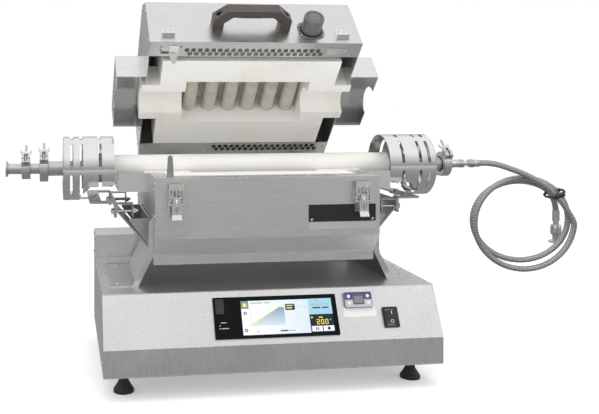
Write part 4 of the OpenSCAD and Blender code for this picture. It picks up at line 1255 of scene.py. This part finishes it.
def height_or_depth(tree, output, axis):
    """One coordinate, by its number, of a Texture Coordinate output."""
    coords = tree.nodes.new("ShaderNodeTexCoord")
    split = tree.nodes.new("ShaderNodeSeparateXYZ")
    tree.links.new(coords.outputs[output], split.inputs[0])
    return split.outputs[axis]


floor_white, tree, bsdf = shader("white floor", (0.93, 0.93, 0.93), 0.9)
bsdf.inputs["Emission Color"].default_value = (1, 1, 1, 1)
rays = tree.nodes.new("ShaderNodeLightPath")
glow = combine(tree, rays.outputs["Is Camera Ray"], FLOOR_GLOW)
tree.links.new(glow, bsdf.inputs["Emission Strength"])
flat_sheet("floor", bar(-FLOOR_HALF, -FLOOR_HALF, FLOOR_HALF, FLOOR_HALF), 0.0, floor_white)

card_grey = bpy.data.materials.new("grey card")
card_grey.use_nodes = True
tree = card_grey.node_tree
tree.nodes.clear()
emission = tree.nodes.new("ShaderNodeEmission")
emission.inputs["Color"].default_value = (1, 0.985, 0.97, 1)
card_level = spread(tree, height_or_depth(tree, "Object", 1), 0.30, 0.60, -0.4, -3.2)
tree.links.new(card_level, emission.inputs["Strength"])
surface = tree.nodes.new("ShaderNodeOutputMaterial").inputs["Surface"]
tree.links.new(emission.outputs[0], surface)
card = flat_sheet("grey_card", bar(-4, -6, 4, 3), CARD_Z, card_grey)
card.visible_camera = card.visible_diffuse = card.visible_transmission = False
card.visible_shadow = card.visible_volume_scatter = False
print("floor and card laid")

# %% [markdown]
# ## Sky
# The world is even and soft as a light, and pure white where the camera sees it. Where steel
# mirrors it, it runs from dark grey at the horizon to white overhead, as the walls and the
# ceiling of a studio would. Light paths tell the three apart.

# %% Set the sky
WORLD_LEVEL, HORIZON, ZENITH = 0.85, 0.32, 1.0
world = bpy.data.worlds.new("studio")
scene.world = world
world.use_nodes = True
tree = world.node_tree
background = tree.nodes["Background"]
background.inputs["Color"].default_value = (1, 1, 1, 1)
rays = tree.nodes.new("ShaderNodeLightPath")
sky = spread(tree, height_or_depth(tree, "Generated", 2), HORIZON, ZENITH, 0.02, 0.7)
mirrored = combine(tree, rays.outputs["Is Glossy Ray"], combine(tree, sky, WORLD_LEVEL, "SUBTRACT"))
seen = combine(tree, rays.outputs["Is Camera Ray"], 1 - WORLD_LEVEL)
strength = combine(tree, combine(tree, mirrored, seen, "ADD"), WORLD_LEVEL, "ADD")
tree.links.new(strength, background.inputs["Strength"])
print("sky set")

# %% [markdown]
# ## Lamps
# Three soft lamps: a wide one overhead that gives the shadow under the base, one at the left
# for the side of the lid and one at the right to fill. Large areas keep the shadows soft. The
# one overhead is hidden from reflections, or the lid's front would mirror it as a white patch.

# %% Hang the lamps
def softbox(name, place, target, width, height, power):
    """A rectangular area lamp at place that faces target."""
    data = bpy.data.lights.new(name, "AREA")
    data.shape = "RECTANGLE"
    data.size, data.size_y, data.energy = width, height, power
    lamp = bpy.data.objects.new(name, data)
    scene.collection.objects.link(lamp)
    lamp.location = place
    away = np.array(place, float) - np.array(target, float)
    lamp.rotation_euler = (math.atan2(math.hypot(away[0], away[1]), away[2]), 0,
                           math.atan2(away[0], -away[1]))
    return lamp


overhead = softbox("overhead", (0.0, -0.1, 2.3), (0, 0, 0), 2.4, 1.8, 22)
overhead.visible_glossy = False
softbox("left", (-1.9, -1.6, 1.5), (0, 0, 0.3), 1.9, 1.9, 11)
softbox("right", (2.2, -1.2, 1.2), (0, 0, 0.3), 1.5, 1.8, 7)
print("lamps:", len(bpy.data.lights))
